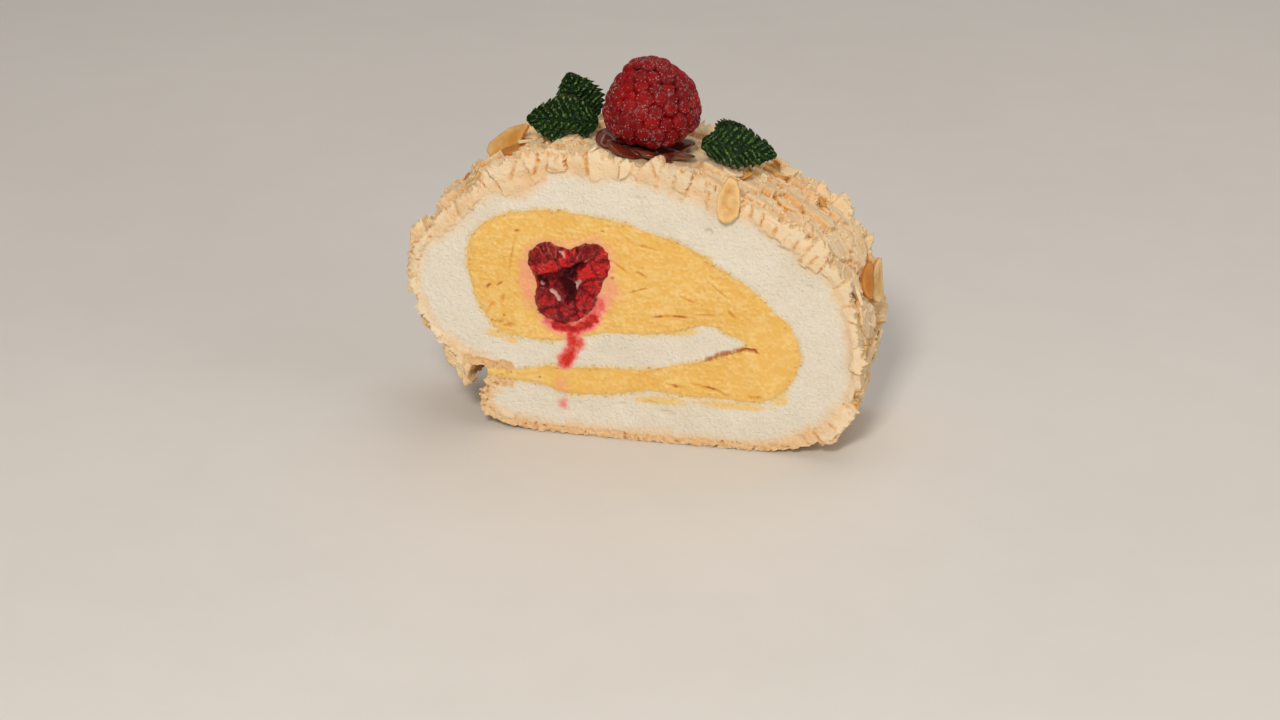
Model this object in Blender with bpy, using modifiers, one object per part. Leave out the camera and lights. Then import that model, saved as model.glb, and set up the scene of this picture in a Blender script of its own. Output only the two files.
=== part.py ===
"""A slice of meringue roulade: a crusted meringue sheet rolled round yellow cream and raspberries,
topped with a raspberry on a chocolate rosette, two sprigs of mint and toasted almond flakes.

X runs along the cut face, Y back through the slice and Z up. The slice stands on Z = 0."""

import math
import random

import bmesh
import bpy
import numpy as np
from mathutils import Matrix, Vector, noise
from mathutils.bvhtree import BVHTree

MM = 0.001
GAP = 0.3 * MM
CREAM_GAP = 0.35 * MM
SLICE_DEPTH = 30 * MM
FRONT = -SLICE_DEPTH / 2
BACK = SLICE_DEPTH / 2

# The crusted side of the rolled sheet, from its outer end at the lower left, along the base, up the
# right flank, over the top and down the left side to the slit. Millimetres, X and Z.
SHEET_OUTSIDE = [
    (-32.5, 12.3), (-34.0, 9.0), (-33.5, 5.5), (-30.0, 2.6), (-26.0, 0.7), (-20.0, 0.0), (-12.0, 0.0),
    (-4.0, 0.0), (4.0, 0.0), (12.0, 0.0), (20.0, 0.0), (27.0, 0.0), (33.0, 0.8), (39.0, 2.8),
    (43.5, 6.5), (46.5, 11.5), (48.3, 18.0), (48.6, 25.0), (47.3, 33.0), (44.8, 39.5), (40.0, 45.5),
    (33.0, 50.5), (24.0, 55.3), (14.0, 59.3), (4.0, 62.2), (-6.0, 63.4), (-15.0, 62.8), (-24.0, 60.4),
    (-32.0, 56.5), (-39.0, 51.0), (-44.5, 45.0), (-47.8, 38.5), (-48.5, 32.0), (-46.6, 26.0),
    (-43.5, 21.0), (-40.0, 17.5), (-36.0, 15.2), (-32.8, 14.3),
]
# The cream side, from the slit along the underside of the inner tongue, round its tip and round
# the filling, back to the outer end.
SHEET_INSIDE = [
    (-32.8, 14.3), (-26.0, 14.2), (-18.5, 15.7), (-12.9, 15.8), (-5.6, 16.5), (1.8, 16.6), (8.0, 18.0),
    (13.0, 19.2), (18.0, 20.8), (22.0, 22.5), (24.6, 24.0), (24.4, 25.0), (21.5, 26.2), (17.5, 28.0),
    (13.0, 27.3), (8.0, 25.5), (0.0, 24.7), (-6.0, 24.5), (-12.0, 22.8), (-18.0, 21.7), (-24.0, 21.9),
    (-29.0, 22.8), (-32.0, 26.0), (-34.8, 31.0), (-36.2, 37.0), (-36.0, 42.0), (-34.3, 45.7),
    (-30.5, 48.6), (-25.0, 50.5), (-18.0, 51.2), (-10.0, 50.8), (-3.0, 49.8), (4.0, 47.9), (10.5, 46.0),
    (15.5, 43.5), (20.0, 40.5), (25.7, 37.2), (30.0, 33.0), (34.0, 29.3), (36.3, 25.0), (36.2, 20.5),
    (34.4, 16.3), (31.2, 13.0), (26.0, 11.3), (19.5, 11.6), (11.0, 11.5), (4.0, 12.0), (-3.0, 10.6),
    (-10.0, 9.8), (-15.0, 9.9), (-20.5, 11.4), (-27.4, 12.0), (-32.5, 12.3),
]
CURVE_STEPS = 12
CRUST_STEP = 2.8 * MM
CREAM_STEP = 3.2 * MM
DEPTH_ROWS = 11

# The broken crust: plates of about this size, lifted and tipped, with cracks between them.
PLATE_SIZE = (8.0 * MM, 7.0 * MM)
PLATE_WARP = 0.35
PLATE_WARP_RATE = 1.7
PLATE_LIFT = 1.9 * MM
PLATE_TIP = 0.22
CRACK_SHARE = 0.22
CRACK_DEPTH = 0.9 * MM
BASE_FADE_START = 0.3 * MM
BASE_FADE = 4.0 * MM
SLIT_FADE = 6.0 * MM

# Loose flakes of crust over the flanks and the top, in lanes from front to back.
FLAKE_PATH_STEP = 1.0 * MM
FLAKE_FIRST_STEP = 75
FLAKE_LAST_STEP = 12
FLAKE_EVERY = 9
FLAKE_LANES = 3
FLAKE_LENGTH = (4.5 * MM, 7.5 * MM)
FLAKE_WIDTH = (3.2 * MM, 5.0 * MM)
FLAKE_THICKNESS = 1.1 * MM
FLAKE_LIFT = (0.7 * MM, 1.3 * MM)
FLAKE_TILT = (0.5, 0.6, 0.5)
FLAKE_SIDES = 6
FLAKE_RAGGEDNESS = 0.22
FLAKE_LOWEST = 8 * MM

# Blocks of crust standing along the top edge of each cut face: X, Z and length in millimetres.
RIM_BLOCKS = [
    (-30.0, 57.5, 6.0), (-24.5, 60.2, 7.0), (-19.0, 61.8, 6.0), (-13.5, 62.9, 7.0),
    (-8.5, 63.3, 5.5), (6.5, 61.4, 4.5), (11.0, 60.6, 6.5), (13.6, 60.0, 6.0), (17.0, 57.8, 5.5),
    (28.0, 53.0, 6.0), (34.0, 49.5, 5.5), (39.5, 45.5, 6.0), (43.5, 40.5, 6.0),
]
RIM_BLOCK_WIDTH = 4.4 * MM
RIM_BLOCK_THICKNESS = 1.8 * MM
RIM_BLOCK_INSET = 1.6 * MM
RIM_BLOCK_RAGGEDNESS = 0.18

# Outlines of the loose bits at the cut faces, X and Z in millimetres.
HANGING_FLAKES = {
    # The flap that hangs over the slit.
    "flap": [
        (-41.6, 16.6), (-40.4, 18.6), (-36.0, 16.8), (-34.6, 14.9), (-35.6, 11.6), (-35.4, 9.4),
        (-37.4, 9.9), (-40.6, 13.0),
    ],
    "left_high": [(-48.8, 44.6), (-46.8, 46.4), (-44.6, 43.4), (-46.8, 38.6), (-49.2, 40.0)],
    "left_low": [(-49.8, 34.8), (-47.6, 35.2), (-47.8, 30.0), (-49.9, 30.2)],
    "foot": [(40.6, 5.4), (43.6, 7.8), (45.8, 6.4), (44.6, 3.9), (41.2, 2.6)],
}
HANGING_DEPTH = 5.5 * MM

# Toasted almond slices: centre, the way it faces, length and width, in millimetres.
ALMONDS = [
    ((-31.2, 6.0, 60.2), (-0.35, -0.75, 0.65), 12.5, 7.0),
    ((-29.0, 0.5, 59.6), (-0.4, -0.3, 0.9), 7.5, 5.0),
    ((21.0, -12.8, 55.6), (0.1, -0.8, 0.6), 10.6, 6.2),
    ((48.6, -2.0, 36.5), (0.85, -0.55, 0.2), 9.0, 5.4),
    ((49.0, 5.0, 34.6), (0.9, -0.35, 0.1), 10.0, 6.0),
    ((19.5, -1.5, 57.9), (0.3, -0.4, 0.9), 8.0, 5.5),
    ((26.0, 10.5, 55.0), (0.4, 0.2, 0.9), 9.5, 5.5),
    ((-16.5, 10.5, 63.2), (-0.1, 0.3, 0.95), 9.5, 5.8),
    ((-38.5, -2.5, 52.2), (-0.8, -0.2, 0.6), 9.0, 5.6),
    ((-44.0, 8.5, 46.2), (-0.9, 0.2, 0.45), 8.5, 5.2),
    ((38.5, 8.5, 47.6), (0.7, 0.2, 0.7), 9.0, 5.6),
    ((4.0, 12.3, 62.9), (0.1, 0.7, 0.7), 9.0, 5.4),
]
ALMOND_THICKNESS = 1.0 * MM
ALMOND_SIDES = 12
ALMOND_RAGGEDNESS = 0.05
ALMOND_POINT = 0.45

# The toppings' footprint is left smooth.
ROSETTE_CENTRE = (0.5 * MM, -3.2 * MM)
ROSETTE_RADIUS = 9.6 * MM
ROSETTE_HEIGHT = 1.8 * MM
ROSETTE_FOLDS = 7
ROSETTE_TWIST = 0.55
ROSETTE_FOLD_REACH = 0.10
ROSETTE_FOLD_LIFT = 0.12
# Share of the radius and share of the height of each ring, from the foot up and in to the middle.
ROSETTE_RINGS = [
    (0.90, 0.0), (1.0, 0.3), (0.98, 0.72), (0.9, 1.0), (0.79, 0.7), (0.6, 0.4), (0.3, 0.4),
]
ROSETTE_GAP = 1.5 * GAP
TOP_LEVEL = 50 * MM
FOOTPRINT_RADIUS = 13.0 * MM
FOOTPRINT_FADE = 3.0 * MM
FOOTPRINT_MARGIN = 2.0 * MM

BERRY_CENTRE = (1.5 * MM, -3.0 * MM)
# Height above the slice's base and outer radius of the whole raspberry, drupelets included.
BERRY_PROFILE = [
    (67.0, 8.3), (68.6, 10.0), (70.7, 10.8), (73.5, 10.6), (76.4, 9.5), (79.1, 7.5), (81.4, 4.6),
    (82.9, 1.6),
]
BERRY_MIDDLE = 71.0 * MM
DRUPELET_RADIUS = 2.4 * MM
DRUPELET_PITCH = 4.3 * MM
DRUPELET_RING_STEP = 3.7 * MM
DRUPELET_SIDES = 6
DRUPELET_SPIN = 0.37
DRUPELET_RINGS = 4
BERRY_CORE_SIDES = 12
BERRY_CORE_INSET = 2.16 * MM
BERRY_CORE_TOP_INSET = 2.28 * MM

# The berry that the front cut goes through: its outline on the cut face, X and Z in millimetres.
CUT_BERRY_OUTLINE = [
    (-23.0, 39.3), (-22.0, 42.6), (-19.0, 44.4), (-15.7, 43.6), (-13.2, 43.4), (-10.2, 44.8),
    (-7.0, 44.6), (-4.9, 42.2), (-5.0, 38.3), (-6.6, 35.0), (-7.9, 30.4), (-10.6, 27.5), (-15.6, 25.8),
    (-19.2, 27.0), (-21.5, 29.8), (-21.3, 34.5),
]
CUT_OUTLINE_STEP = 1.2 * MM
CUT_BERRY_DEPTH = 11 * MM
CUT_CORE_DEPTH = 8.25 * MM
# Depth in shares of the half berry, and how far each ring of drupelets draws in there.
CUT_RINGS = [(0.1, 1.0), (0.5, 0.88)]
CUT_DRUPELET_RADIUS = 2.7 * MM
CUT_DRUPELET_PITCH = 4.3 * MM
CUT_CORE_SHARE = 0.84
CUT_TRIM_SHARE = 1.6
CUT_ALLOWANCE = 0.23 * MM
CUT_HOLLOW_RADIUS = 2.9 * MM
CUT_HOLLOW_DEPTH = 2.5 * MM
CUT_HOLLOW_SHIFT = (0.3 * MM, 1.2 * MM)
CUT_HOLLOW_STRETCH = (1.1, 0.9)
POCKET_MARGIN = 0.45 * MM
# The back cut goes through another berry, a little smaller and further right.
BACK_BERRY_SHIFT = (12.0 * MM, 0.6 * MM)
BACK_BERRY_SCALE = 0.84

LEAF_THICKNESS = 0.6 * MM
LEAF_CLEARANCE = 0.95 * MM
LEAF_ROWS = 15
LEAF_COLUMNS = 4
LEAF_RIPPLES = 7
LEAF_RIPPLE = 0.35
LEAF_TOOTH = 0.10
# Base, tip, the way the upper side looks, width, cup across and arch along, in millimetres.
LEAVES = {
    "mint_leaf_left_front": (
        (-11.0, 0.6, 66.2), (-26.6, -0.4, 66.4), (0.0, -0.85, 0.5), 11.5, 0.8, 1.2,
    ),
    "mint_leaf_left_back": (
        (-14.0, 4.6, 64.9), (-19.0, 5.0, 75.6), (-0.15, -0.95, 0.35), 12.0, -0.8, 0.6,
    ),
    "mint_leaf_right_front": (
        (11.8, -1.0, 63.4), (27.2, 3.6, 60.6), (0.2, -0.65, 0.75), 11.0, 0.6, 1.2,
    ),
    "mint_leaf_right_back": (
        (14.2, 5.6, 61.2), (19.8, 6.8, 65.8), (0.1, -0.9, 0.5), 10.0, -0.8, 0.5,
    ),
}

SEED = 7


def smooth_path(points, step):
    """Evenly spaced points along a smooth curve through the given ones."""
    given = np.array(points, float) * MM
    ends = 2 * given[0] - given[1], 2 * given[-1] - given[-2]
    given = np.vstack([ends[0], given, ends[1]])
    fine = []
    for a, b, c, d in zip(given, given[1:], given[2:], given[3:]):
        for t in np.arange(CURVE_STEPS) / CURVE_STEPS:
            pull = (c - a) * t + (2 * a - 5 * b + 4 * c - d) * t**2 + (3 * b - a - 3 * c + d) * t**3
            fine.append(b + pull / 2)
    fine.append(given[-2])
    return evenly_spaced(np.array(fine), step)


def evenly_spaced(points, step):
    """The same path with its points about one step apart."""
    along = arc_lengths(points)
    wanted = np.linspace(0, along[-1], max(2, round(along[-1] / step)) + 1)
    return np.column_stack([np.interp(wanted, along, points[:, axis]) for axis in (0, 1)])


def arc_lengths(points):
    steps = np.linalg.norm(np.diff(points, axis=0), axis=1)
    return np.concatenate([[0], np.cumsum(steps)])


def left_normals(points):
    """Unit normals to the left of the path as it runs."""
    along = np.gradient(points, axis=0)
    normals = np.column_stack([-along[:, 1], along[:, 0]])
    return normals / np.linalg.norm(normals, axis=1, keepdims=True)


def ramp(value, low, high):
    """Rises smoothly from 0 at low to 1 at high."""
    t = min(1.0, max(0.0, (value - low) / (high - low)))
    return t * t * (3 - 2 * t)


def plate_height(along, y):
    """How far the crust stands out at a place along the sheet: tipped plates with cracks between."""
    place = Vector((along / PLATE_SIZE[0], y / PLATE_SIZE[1], 0))
    place += noise.noise_vector(place * PLATE_WARP_RATE) * PLATE_WARP
    distances, centres = noise.voronoi(place)
    own = noise.cell_vector(centres[0])
    away = place - centres[0]
    tip = (own.y - 0.5) * away.x * PLATE_SIZE[0] + (own.z - 0.5) * away.y * PLATE_SIZE[1]
    crack = 1 - ramp(distances[1] - distances[0], 0, CRACK_SHARE)
    return own.x * PLATE_LIFT + tip * 2 * PLATE_TIP - crack * CRACK_DEPTH


def crust_relief(along, length, x, y, z):
    """The plates' height, fading out on the base, at the slit and under the toppings."""
    fade = ramp(z, BASE_FADE_START, BASE_FADE)
    fade *= ramp(min(along, length - along), 0, SLIT_FADE)
    if z > TOP_LEVEL:
        reach = math.hypot(x - ROSETTE_CENTRE[0], y - ROSETTE_CENTRE[1])
        fade *= ramp(reach, FOOTPRINT_RADIUS - FOOTPRINT_FADE, FOOTPRINT_RADIUS)
    return plate_height(along, y) * fade


def material(name, colour, roughness, subsurface=0.0):
    made = bpy.data.materials.new(name)
    made.use_nodes = True
    shader = made.node_tree.nodes["Principled BSDF"]
    shader.inputs["Base Color"].default_value = (*colour, 1)
    shader.inputs["Roughness"].default_value = roughness
    shader.inputs["Metallic"].default_value = 0.0
    shader.inputs["Subsurface Weight"].default_value = subsurface
    made.diffuse_color = (*colour, 1)
    return made


def link(obj, collection, finish=None):
    collection.objects.link(obj)
    if finish:
        obj.data.materials.clear()
        obj.data.materials.append(finish)
    return obj


def object_from(bm, name, collection, finish=None):
    """A new object from a bmesh, its faces turned outwards and split into triangles."""
    bmesh.ops.recalc_face_normals(bm, faces=bm.faces)
    bmesh.ops.triangulate(bm, faces=bm.faces)
    mesh = bpy.data.meshes.new(name)
    bm.to_mesh(mesh)
    bm.free()
    return link(bpy.data.objects.new(name, mesh), collection, finish)


def apply_modifiers(obj):
    """Turns the object's evaluated shape into its own mesh."""
    bpy.context.view_layer.update()
    graph = bpy.context.evaluated_depsgraph_get()
    mesh = bpy.data.meshes.new_from_object(obj.evaluated_get(graph))
    obj.modifiers.clear()
    obj.data = mesh


def keep_largest_shell(obj):
    """Fills the hollows that fusing seals and drops loose scraps: only the outer skin stays."""
    bm = bmesh.new()
    bm.from_mesh(obj.data)
    unseen = set(bm.verts)
    shells = []
    while unseen:
        shell = {unseen.pop()}
        edge_of_shell = list(shell)
        while edge_of_shell:
            vert = edge_of_shell.pop()
            for edge in vert.link_edges:
                other = edge.other_vert(vert)
                if other in unseen:
                    unseen.remove(other)
                    shell.add(other)
                    edge_of_shell.append(other)
        shells.append(shell)
    largest = max(shells, key=len)
    for shell in shells:
        if shell is not largest:
            bmesh.ops.delete(bm, geom=list(shell), context="VERTS")
    bm.to_mesh(obj.data)
    bm.free()


def join_solids(body, pieces):
    """Unites the pieces with the body by one Boolean, then removes them."""
    gathered = bpy.data.collections.new(body.name + "_pieces")
    bpy.context.scene.collection.children.link(gathered)
    for piece in pieces:
        for home in list(piece.users_collection):
            home.objects.unlink(piece)
        gathered.objects.link(piece)
    union = body.modifiers.new("join", "BOOLEAN")
    union.operation = "UNION"
    union.operand_type = "COLLECTION"
    union.collection = gathered
    union.solver = "EXACT"
    union.use_self = True
    apply_modifiers(body)
    for piece in list(gathered.objects):
        bpy.data.objects.remove(piece)
    bpy.data.collections.remove(gathered)
    keep_largest_shell(body)


def cut_away(body, cutter):
    """Takes the cutter's shape out of the body and removes the cutter."""
    cut = body.modifiers.new("cut", "BOOLEAN")
    cut.operation = "DIFFERENCE"
    cut.object = cutter
    cut.solver = "EXACT"
    apply_modifiers(body)
    bpy.data.objects.remove(cutter)
    keep_largest_shell(body)


def extruded_outline(name, points, front, back, collection):
    """A solid with this X, Z outline between two places on Y, from a filled 2D curve."""
    curve = bpy.data.curves.new(name, "CURVE")
    curve.dimensions = "2D"
    curve.fill_mode = "BOTH"
    curve.extrude = (back - front) / 2
    spline = curve.splines.new("POLY")
    spline.points.add(len(points) - 1)
    for point, (x, z) in zip(spline.points, points):
        point.co = (x, z, 0, 1)
    spline.use_cyclic_u = True
    drawn = bpy.data.objects.new(name + "_curve", curve)
    collection.objects.link(drawn)
    bpy.context.view_layer.update()
    graph = bpy.context.evaluated_depsgraph_get()
    mesh = bpy.data.meshes.new_from_object(drawn.evaluated_get(graph))
    bpy.data.objects.remove(drawn)
    upright = Matrix.Translation((0, (front + back) / 2, 0)) @ Matrix.Rotation(math.pi / 2, 4, "X")
    mesh.transform(upright)
    bm = bmesh.new()
    bm.from_mesh(mesh)
    bmesh.ops.remove_doubles(bm, verts=bm.verts, dist=1e-6)
    return object_from(bm, name, collection)


def meringue_sheet(collection, finish):
    """The rolled sheet: the crust as rows of plates, flat cut faces, and a plain cream side."""
    outside = smooth_path(SHEET_OUTSIDE, CRUST_STEP)
    outside[:, 1] = np.maximum(outside[:, 1], 0)
    inside = smooth_path(SHEET_INSIDE, CREAM_STEP)
    along = arc_lengths(outside)
    normals = -left_normals(outside)
    bm = bmesh.new()
    rows = []
    for row in range(DEPTH_ROWS + 1):
        y = FRONT + SLICE_DEPTH * row / DEPTH_ROWS
        placed = []
        for (x, z), (nx, nz), s in zip(outside, normals, along):
            out = crust_relief(s, along[-1], x, y, z)
            placed.append(bm.verts.new((x + nx * out, y, max(0, z + nz * out))))
        rows.append(placed)
    for near, far in zip(rows, rows[1:]):
        for a, b, c, d in zip(near, near[1:], far[1:], far):
            bm.faces.new((a, b, c, d))
    front = [bm.verts.new((x, FRONT, z)) for x, z in inside[1:-1]]
    back = [bm.verts.new((x, BACK, z)) for x, z in inside[1:-1]]
    for a, b, c, d in zip(front, front[1:], back[1:], back):
        bm.faces.new((a, b, c, d))
    slit_top = [row[-1] for row in rows]
    slit_bottom = [row[0] for row in rows]
    bm.faces.new(slit_top + [back[0], front[0]])
    bm.faces.new(slit_bottom + [back[-1], front[-1]])
    bm.faces.new(rows[0] + front)
    bm.faces.new(rows[-1] + back)
    return object_from(bm, "meringue", collection, finish)


def thin_plate(name, centre, facing, length, width, thickness, sides, roughness, seed, point=0.0):
    """A flat flake with an uneven outline, facing the given way, its long side near to upright.

    point narrows one end, as an almond's does."""
    draw = random.Random(seed)
    facing = Vector(facing).normalized()
    upward = Vector((0.15, 0.1, 1)) if abs(facing.z) < 0.8 else Vector((1, 0.3, 0))
    turn = draw.uniform(-0.5, 0.5)
    side = upward.cross(facing).normalized()
    rise = facing.cross(side)
    bm = bmesh.new()
    layers = []
    for level in (-0.5, 0.5):
        layer = []
        draw_edge = random.Random(seed + 1)
        for i in range(sides):
            angle = 2 * math.pi * i / sides + turn
            reach = 1 + roughness * draw_edge.uniform(-1, 1)
            narrow = 1 - point * (1 + math.sin(angle)) / 2
            flat = side * math.cos(angle) * width / 2 * reach * narrow
            flat += rise * math.sin(angle) * length / 2 * reach
            layer.append(bm.verts.new(Vector(centre) + flat + facing * level * thickness))
        layers.append(layer)
    bm.faces.new(layers[0])
    bm.faces.new(layers[1])
    for i in range(sides):
        j = (i + 1) % sides
        bm.faces.new((layers[0][i], layers[0][j], layers[1][j], layers[1][i]))
    return object_from(bm, name, bpy.context.scene.collection)


def scattered_flakes():
    """Broken plates of crust that stand proud of the rest, over the flanks and the top."""
    path = smooth_path(SHEET_OUTSIDE, FLAKE_PATH_STEP)
    normals = -left_normals(path)
    last = len(path) - FLAKE_LAST_STEP
    draw = random.Random(SEED)
    flakes = []
    for count, spot in enumerate(range(FLAKE_FIRST_STEP, last, FLAKE_EVERY)):
        for lane in range(FLAKE_LANES):
            index = min(last, spot + draw.randint(-2, 2))
            across = (lane + 0.5 + draw.uniform(-0.28, 0.28)) / FLAKE_LANES
            tilt = Vector([draw.uniform(-most, most) for most in FLAKE_TILT])
            length = draw.uniform(*FLAKE_LENGTH)
            width = draw.uniform(*FLAKE_WIDTH)
            lift = draw.uniform(*FLAKE_LIFT)
            x, z = path[index]
            y = FRONT + SLICE_DEPTH * across
            reach = math.hypot(x - ROSETTE_CENTRE[0], y - ROSETTE_CENTRE[1])
            if z > TOP_LEVEL and reach < FOOTPRINT_RADIUS + FOOTPRINT_MARGIN:
                continue
            if z < FLAKE_LOWEST:
                continue
            y = min(max(y, FRONT + width / 2), BACK - width / 2)
            outward = Vector((normals[index][0], 0, normals[index][1]))
            centre = Vector((x, y, z)) + outward * lift
            size = (length, width, FLAKE_THICKNESS)
            seed = SEED + 31 * count + lane
            turned = outward + tilt
            flake = thin_plate("flake", centre, turned, *size, FLAKE_SIDES, FLAKE_RAGGEDNESS, seed)
            flakes.append(flake)
    return flakes


def rim_flakes():
    """The blocks that stand along the top edge of each cut face."""
    flakes = []
    for number, (x, z, length) in enumerate(RIM_BLOCKS):
        for face, way in ((FRONT, -1), (BACK, 1)):
            centre = (x * MM, face - way * RIM_BLOCK_INSET, z * MM)
            facing = (0.2 * math.sin(number * 2.3), way, 0.35 + 0.2 * math.cos(number * 1.7))
            size = (length * MM, RIM_BLOCK_WIDTH, RIM_BLOCK_THICKNESS)
            seed = SEED + 101 * number + way
            shape = (FLAKE_SIDES, RIM_BLOCK_RAGGEDNESS, seed)
            flakes.append(thin_plate("block", centre, facing, *size, *shape))
    return flakes


def hanging_flakes():
    """Loose bits of crust at the left side and at the foot of the right flank."""
    scene = bpy.context.scene.collection
    flakes = []
    for name, outline in HANGING_FLAKES.items():
        points = [(x * MM, z * MM) for x, z in outline]
        flakes.append(extruded_outline(name, points, FRONT, FRONT + HANGING_DEPTH, scene))
        flakes.append(extruded_outline(name, points, BACK - HANGING_DEPTH, BACK, scene))
    return flakes


def almond_flakes():
    """Almond slices lying on the crust or sunk into it."""
    made = []
    for number, (centre, facing, length, width) in enumerate(ALMONDS):
        centre = [value * MM for value in centre]
        size = (length * MM, width * MM, ALMOND_THICKNESS)
        shape = (ALMOND_SIDES, ALMOND_RAGGEDNESS, SEED + number, ALMOND_POINT)
        made.append(thin_plate("almond", centre, facing, *size, *shape))
    return made


def meringue(collection, finish):
    body = meringue_sheet(collection, finish)
    join_solids(body, scattered_flakes() + rim_flakes() + hanging_flakes() + almond_flakes())
    body.data.materials.clear()
    body.data.materials.append(finish)
    return body


def offset_outline(points, distance):
    """A closed outline moved outwards by this distance."""
    looped = np.vstack([points[-1:], points, points[:1]])
    area = np.sum(looped[:-1, 0] * looped[1:, 1] - looped[1:, 0] * looped[:-1, 1])
    outward = -left_normals(looped)[1:-1] * np.sign(area)
    return points + outward * distance


def cream_filling(collection, finish, pockets):
    """Everything between the turns of the sheet, with a hollow for each cut berry."""
    inside = smooth_path(SHEET_INSIDE, CREAM_STEP)
    outline = (inside + left_normals(inside) * -CREAM_GAP)[1:-1]
    filling = extruded_outline("cream_filling", outline, FRONT, BACK, collection)
    for pocket in pockets:
        cut_away(filling, pocket)
    filling.data.materials.clear()
    filling.data.materials.append(finish)
    return filling


def drupelet(centre, outward, radius, number):
    """One bead of a raspberry, as a ball with a pole facing outwards, each spun differently."""
    bm = bmesh.new()
    turn = Vector(outward).normalized().to_track_quat("Z", "Y").to_matrix().to_4x4()
    place = Matrix.Translation(centre) @ turn @ Matrix.Rotation(number * DRUPELET_SPIN, 4, "Z")
    bmesh.ops.create_uvsphere(
        bm, u_segments=DRUPELET_SIDES, v_segments=DRUPELET_RINGS, radius=radius, matrix=place
    )
    return object_from(bm, "drupelet", bpy.context.scene.collection)


def hollow_core(centre, radius, depth):
    """The ragged hollow in the middle of a cut berry, as a flattened ball."""
    bm = bmesh.new()
    wide, high = CUT_HOLLOW_STRETCH
    place = Matrix.Translation(centre) @ Matrix.Diagonal((wide, depth / radius, high, 1))
    bmesh.ops.create_icosphere(bm, subdivisions=2, radius=radius, matrix=place)
    return object_from(bm, "hollow", bpy.context.scene.collection)


def berry_section(scale, shift):
    """The cut berry's outline, scaled about its middle and moved."""
    outline = smooth_path(CUT_BERRY_OUTLINE + CUT_BERRY_OUTLINE[:1], CUT_OUTLINE_STEP)[:-1]
    middle = outline.mean(axis=0)
    return (outline - middle) * scale + middle + np.array(shift)


def cut_raspberry(name, collection, finish, face, inward, scale, shift):
    """Half a raspberry, sliced by the cut face: rings of drupelets round a ragged hollow.

    inward is the way into the slice, 1 from the front and -1 from the back."""
    section = berry_section(scale, shift)
    middle = section.mean(axis=0)
    radius = CUT_DRUPELET_RADIUS * scale
    core_outline = (section[::2] - middle) * CUT_CORE_SHARE + middle
    proud = face - inward * CUT_ALLOWANCE
    deep = face + inward * CUT_CORE_DEPTH * scale
    body = extruded_outline(name, core_outline, *sorted((proud, deep)), collection)
    balls = []
    for depth, shrink in CUT_RINGS:
        ring = (section - middle) * shrink + middle
        ring = offset_outline(ring, -radius)
        ring = evenly_spaced(np.vstack([ring, ring[:1]]), CUT_DRUPELET_PITCH * scale)[:-1]
        y = face + inward * depth * CUT_BERRY_DEPTH * scale
        for x, z in ring:
            outward = (x - middle[0], inward * depth * CUT_BERRY_DEPTH, z - middle[1])
            balls.append(drupelet((x, y, z), outward, radius, len(balls)))
    join_solids(body, balls)
    hollow_x, hollow_z = middle + np.array(CUT_HOLLOW_SHIFT)
    hollow_place = (hollow_x, proud, hollow_z)
    cut_away(body, hollow_core(hollow_place, CUT_HOLLOW_RADIUS * scale, CUT_HOLLOW_DEPTH * scale))
    # What stands out past the cut face goes.
    wide = (section - middle) * CUT_TRIM_SHARE + middle
    beyond = face - inward * CUT_BERRY_DEPTH
    cut_away(body, extruded_outline("beyond", wide, *sorted((face, beyond)), collection))
    body.data.materials.clear()
    body.data.materials.append(finish)
    return body


def berry_pocket(face, inward, scale, shift, collection):
    """The hollow in the cream that a cut berry sits in."""
    outline = offset_outline(berry_section(scale, shift), POCKET_MARGIN)
    outer = face - inward * CUT_BERRY_DEPTH
    deep = face + inward * (CUT_BERRY_DEPTH * scale + POCKET_MARGIN)
    return extruded_outline("pocket", outline, *sorted((outer, deep)), collection)


def whole_raspberry(collection, finish):
    """Rings of drupelets, staggered from ring to ring, round a solid core."""
    profile = np.array([(radius, height) for height, radius in BERRY_PROFILE]) * MM
    cx, cy = BERRY_CENTRE
    inner = profile - np.array([BERRY_CORE_INSET, 0])
    inner[:, 0] = np.maximum(inner[:, 0], 0.4 * MM)
    inner[:, 1] = np.minimum(inner[:, 1], profile[-1][1] - BERRY_CORE_TOP_INSET)
    bm = bmesh.new()
    sides = BERRY_CORE_SIDES
    rings = []
    for radius, height in inner:
        angles = [2 * math.pi * i / sides for i in range(sides)]
        ring = [(cx + radius * math.cos(a), cy + radius * math.sin(a), height) for a in angles]
        rings.append([bm.verts.new(co) for co in ring])
    for low, high in zip(rings, rings[1:]):
        for i in range(sides):
            j = (i + 1) % sides
            bm.faces.new((low[i], low[j], high[j], high[i]))
    bm.faces.new(rings[0])
    bm.faces.new(rings[-1])
    body = object_from(bm, "raspberry_top", collection)
    middle = Vector((cx, cy, BERRY_MIDDLE))
    balls = []
    for number, (radius, height) in enumerate(evenly_spaced(inner, DRUPELET_RING_STEP)):
        count = max(1, round(2 * math.pi * radius / DRUPELET_PITCH))
        if radius < MM:
            count = 1
        for i in range(count):
            angle = 2 * math.pi * (i + 0.5 * (number % 2)) / count
            reach = radius if count > 1 else 0
            place = Vector((cx + reach * math.cos(angle), cy + reach * math.sin(angle), height))
            balls.append(drupelet(place, place - middle, DRUPELET_RADIUS, len(balls)))
    join_solids(body, balls)
    body.data.materials.clear()
    body.data.materials.append(finish)
    return body


def crust_below(tree, x, y):
    """Height of the meringue's upper side under a place."""
    hit = tree.ray_cast(Vector((x, y, 0.2)), Vector((0, 0, -1)))[0]
    return hit.z if hit else 0.0


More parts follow.
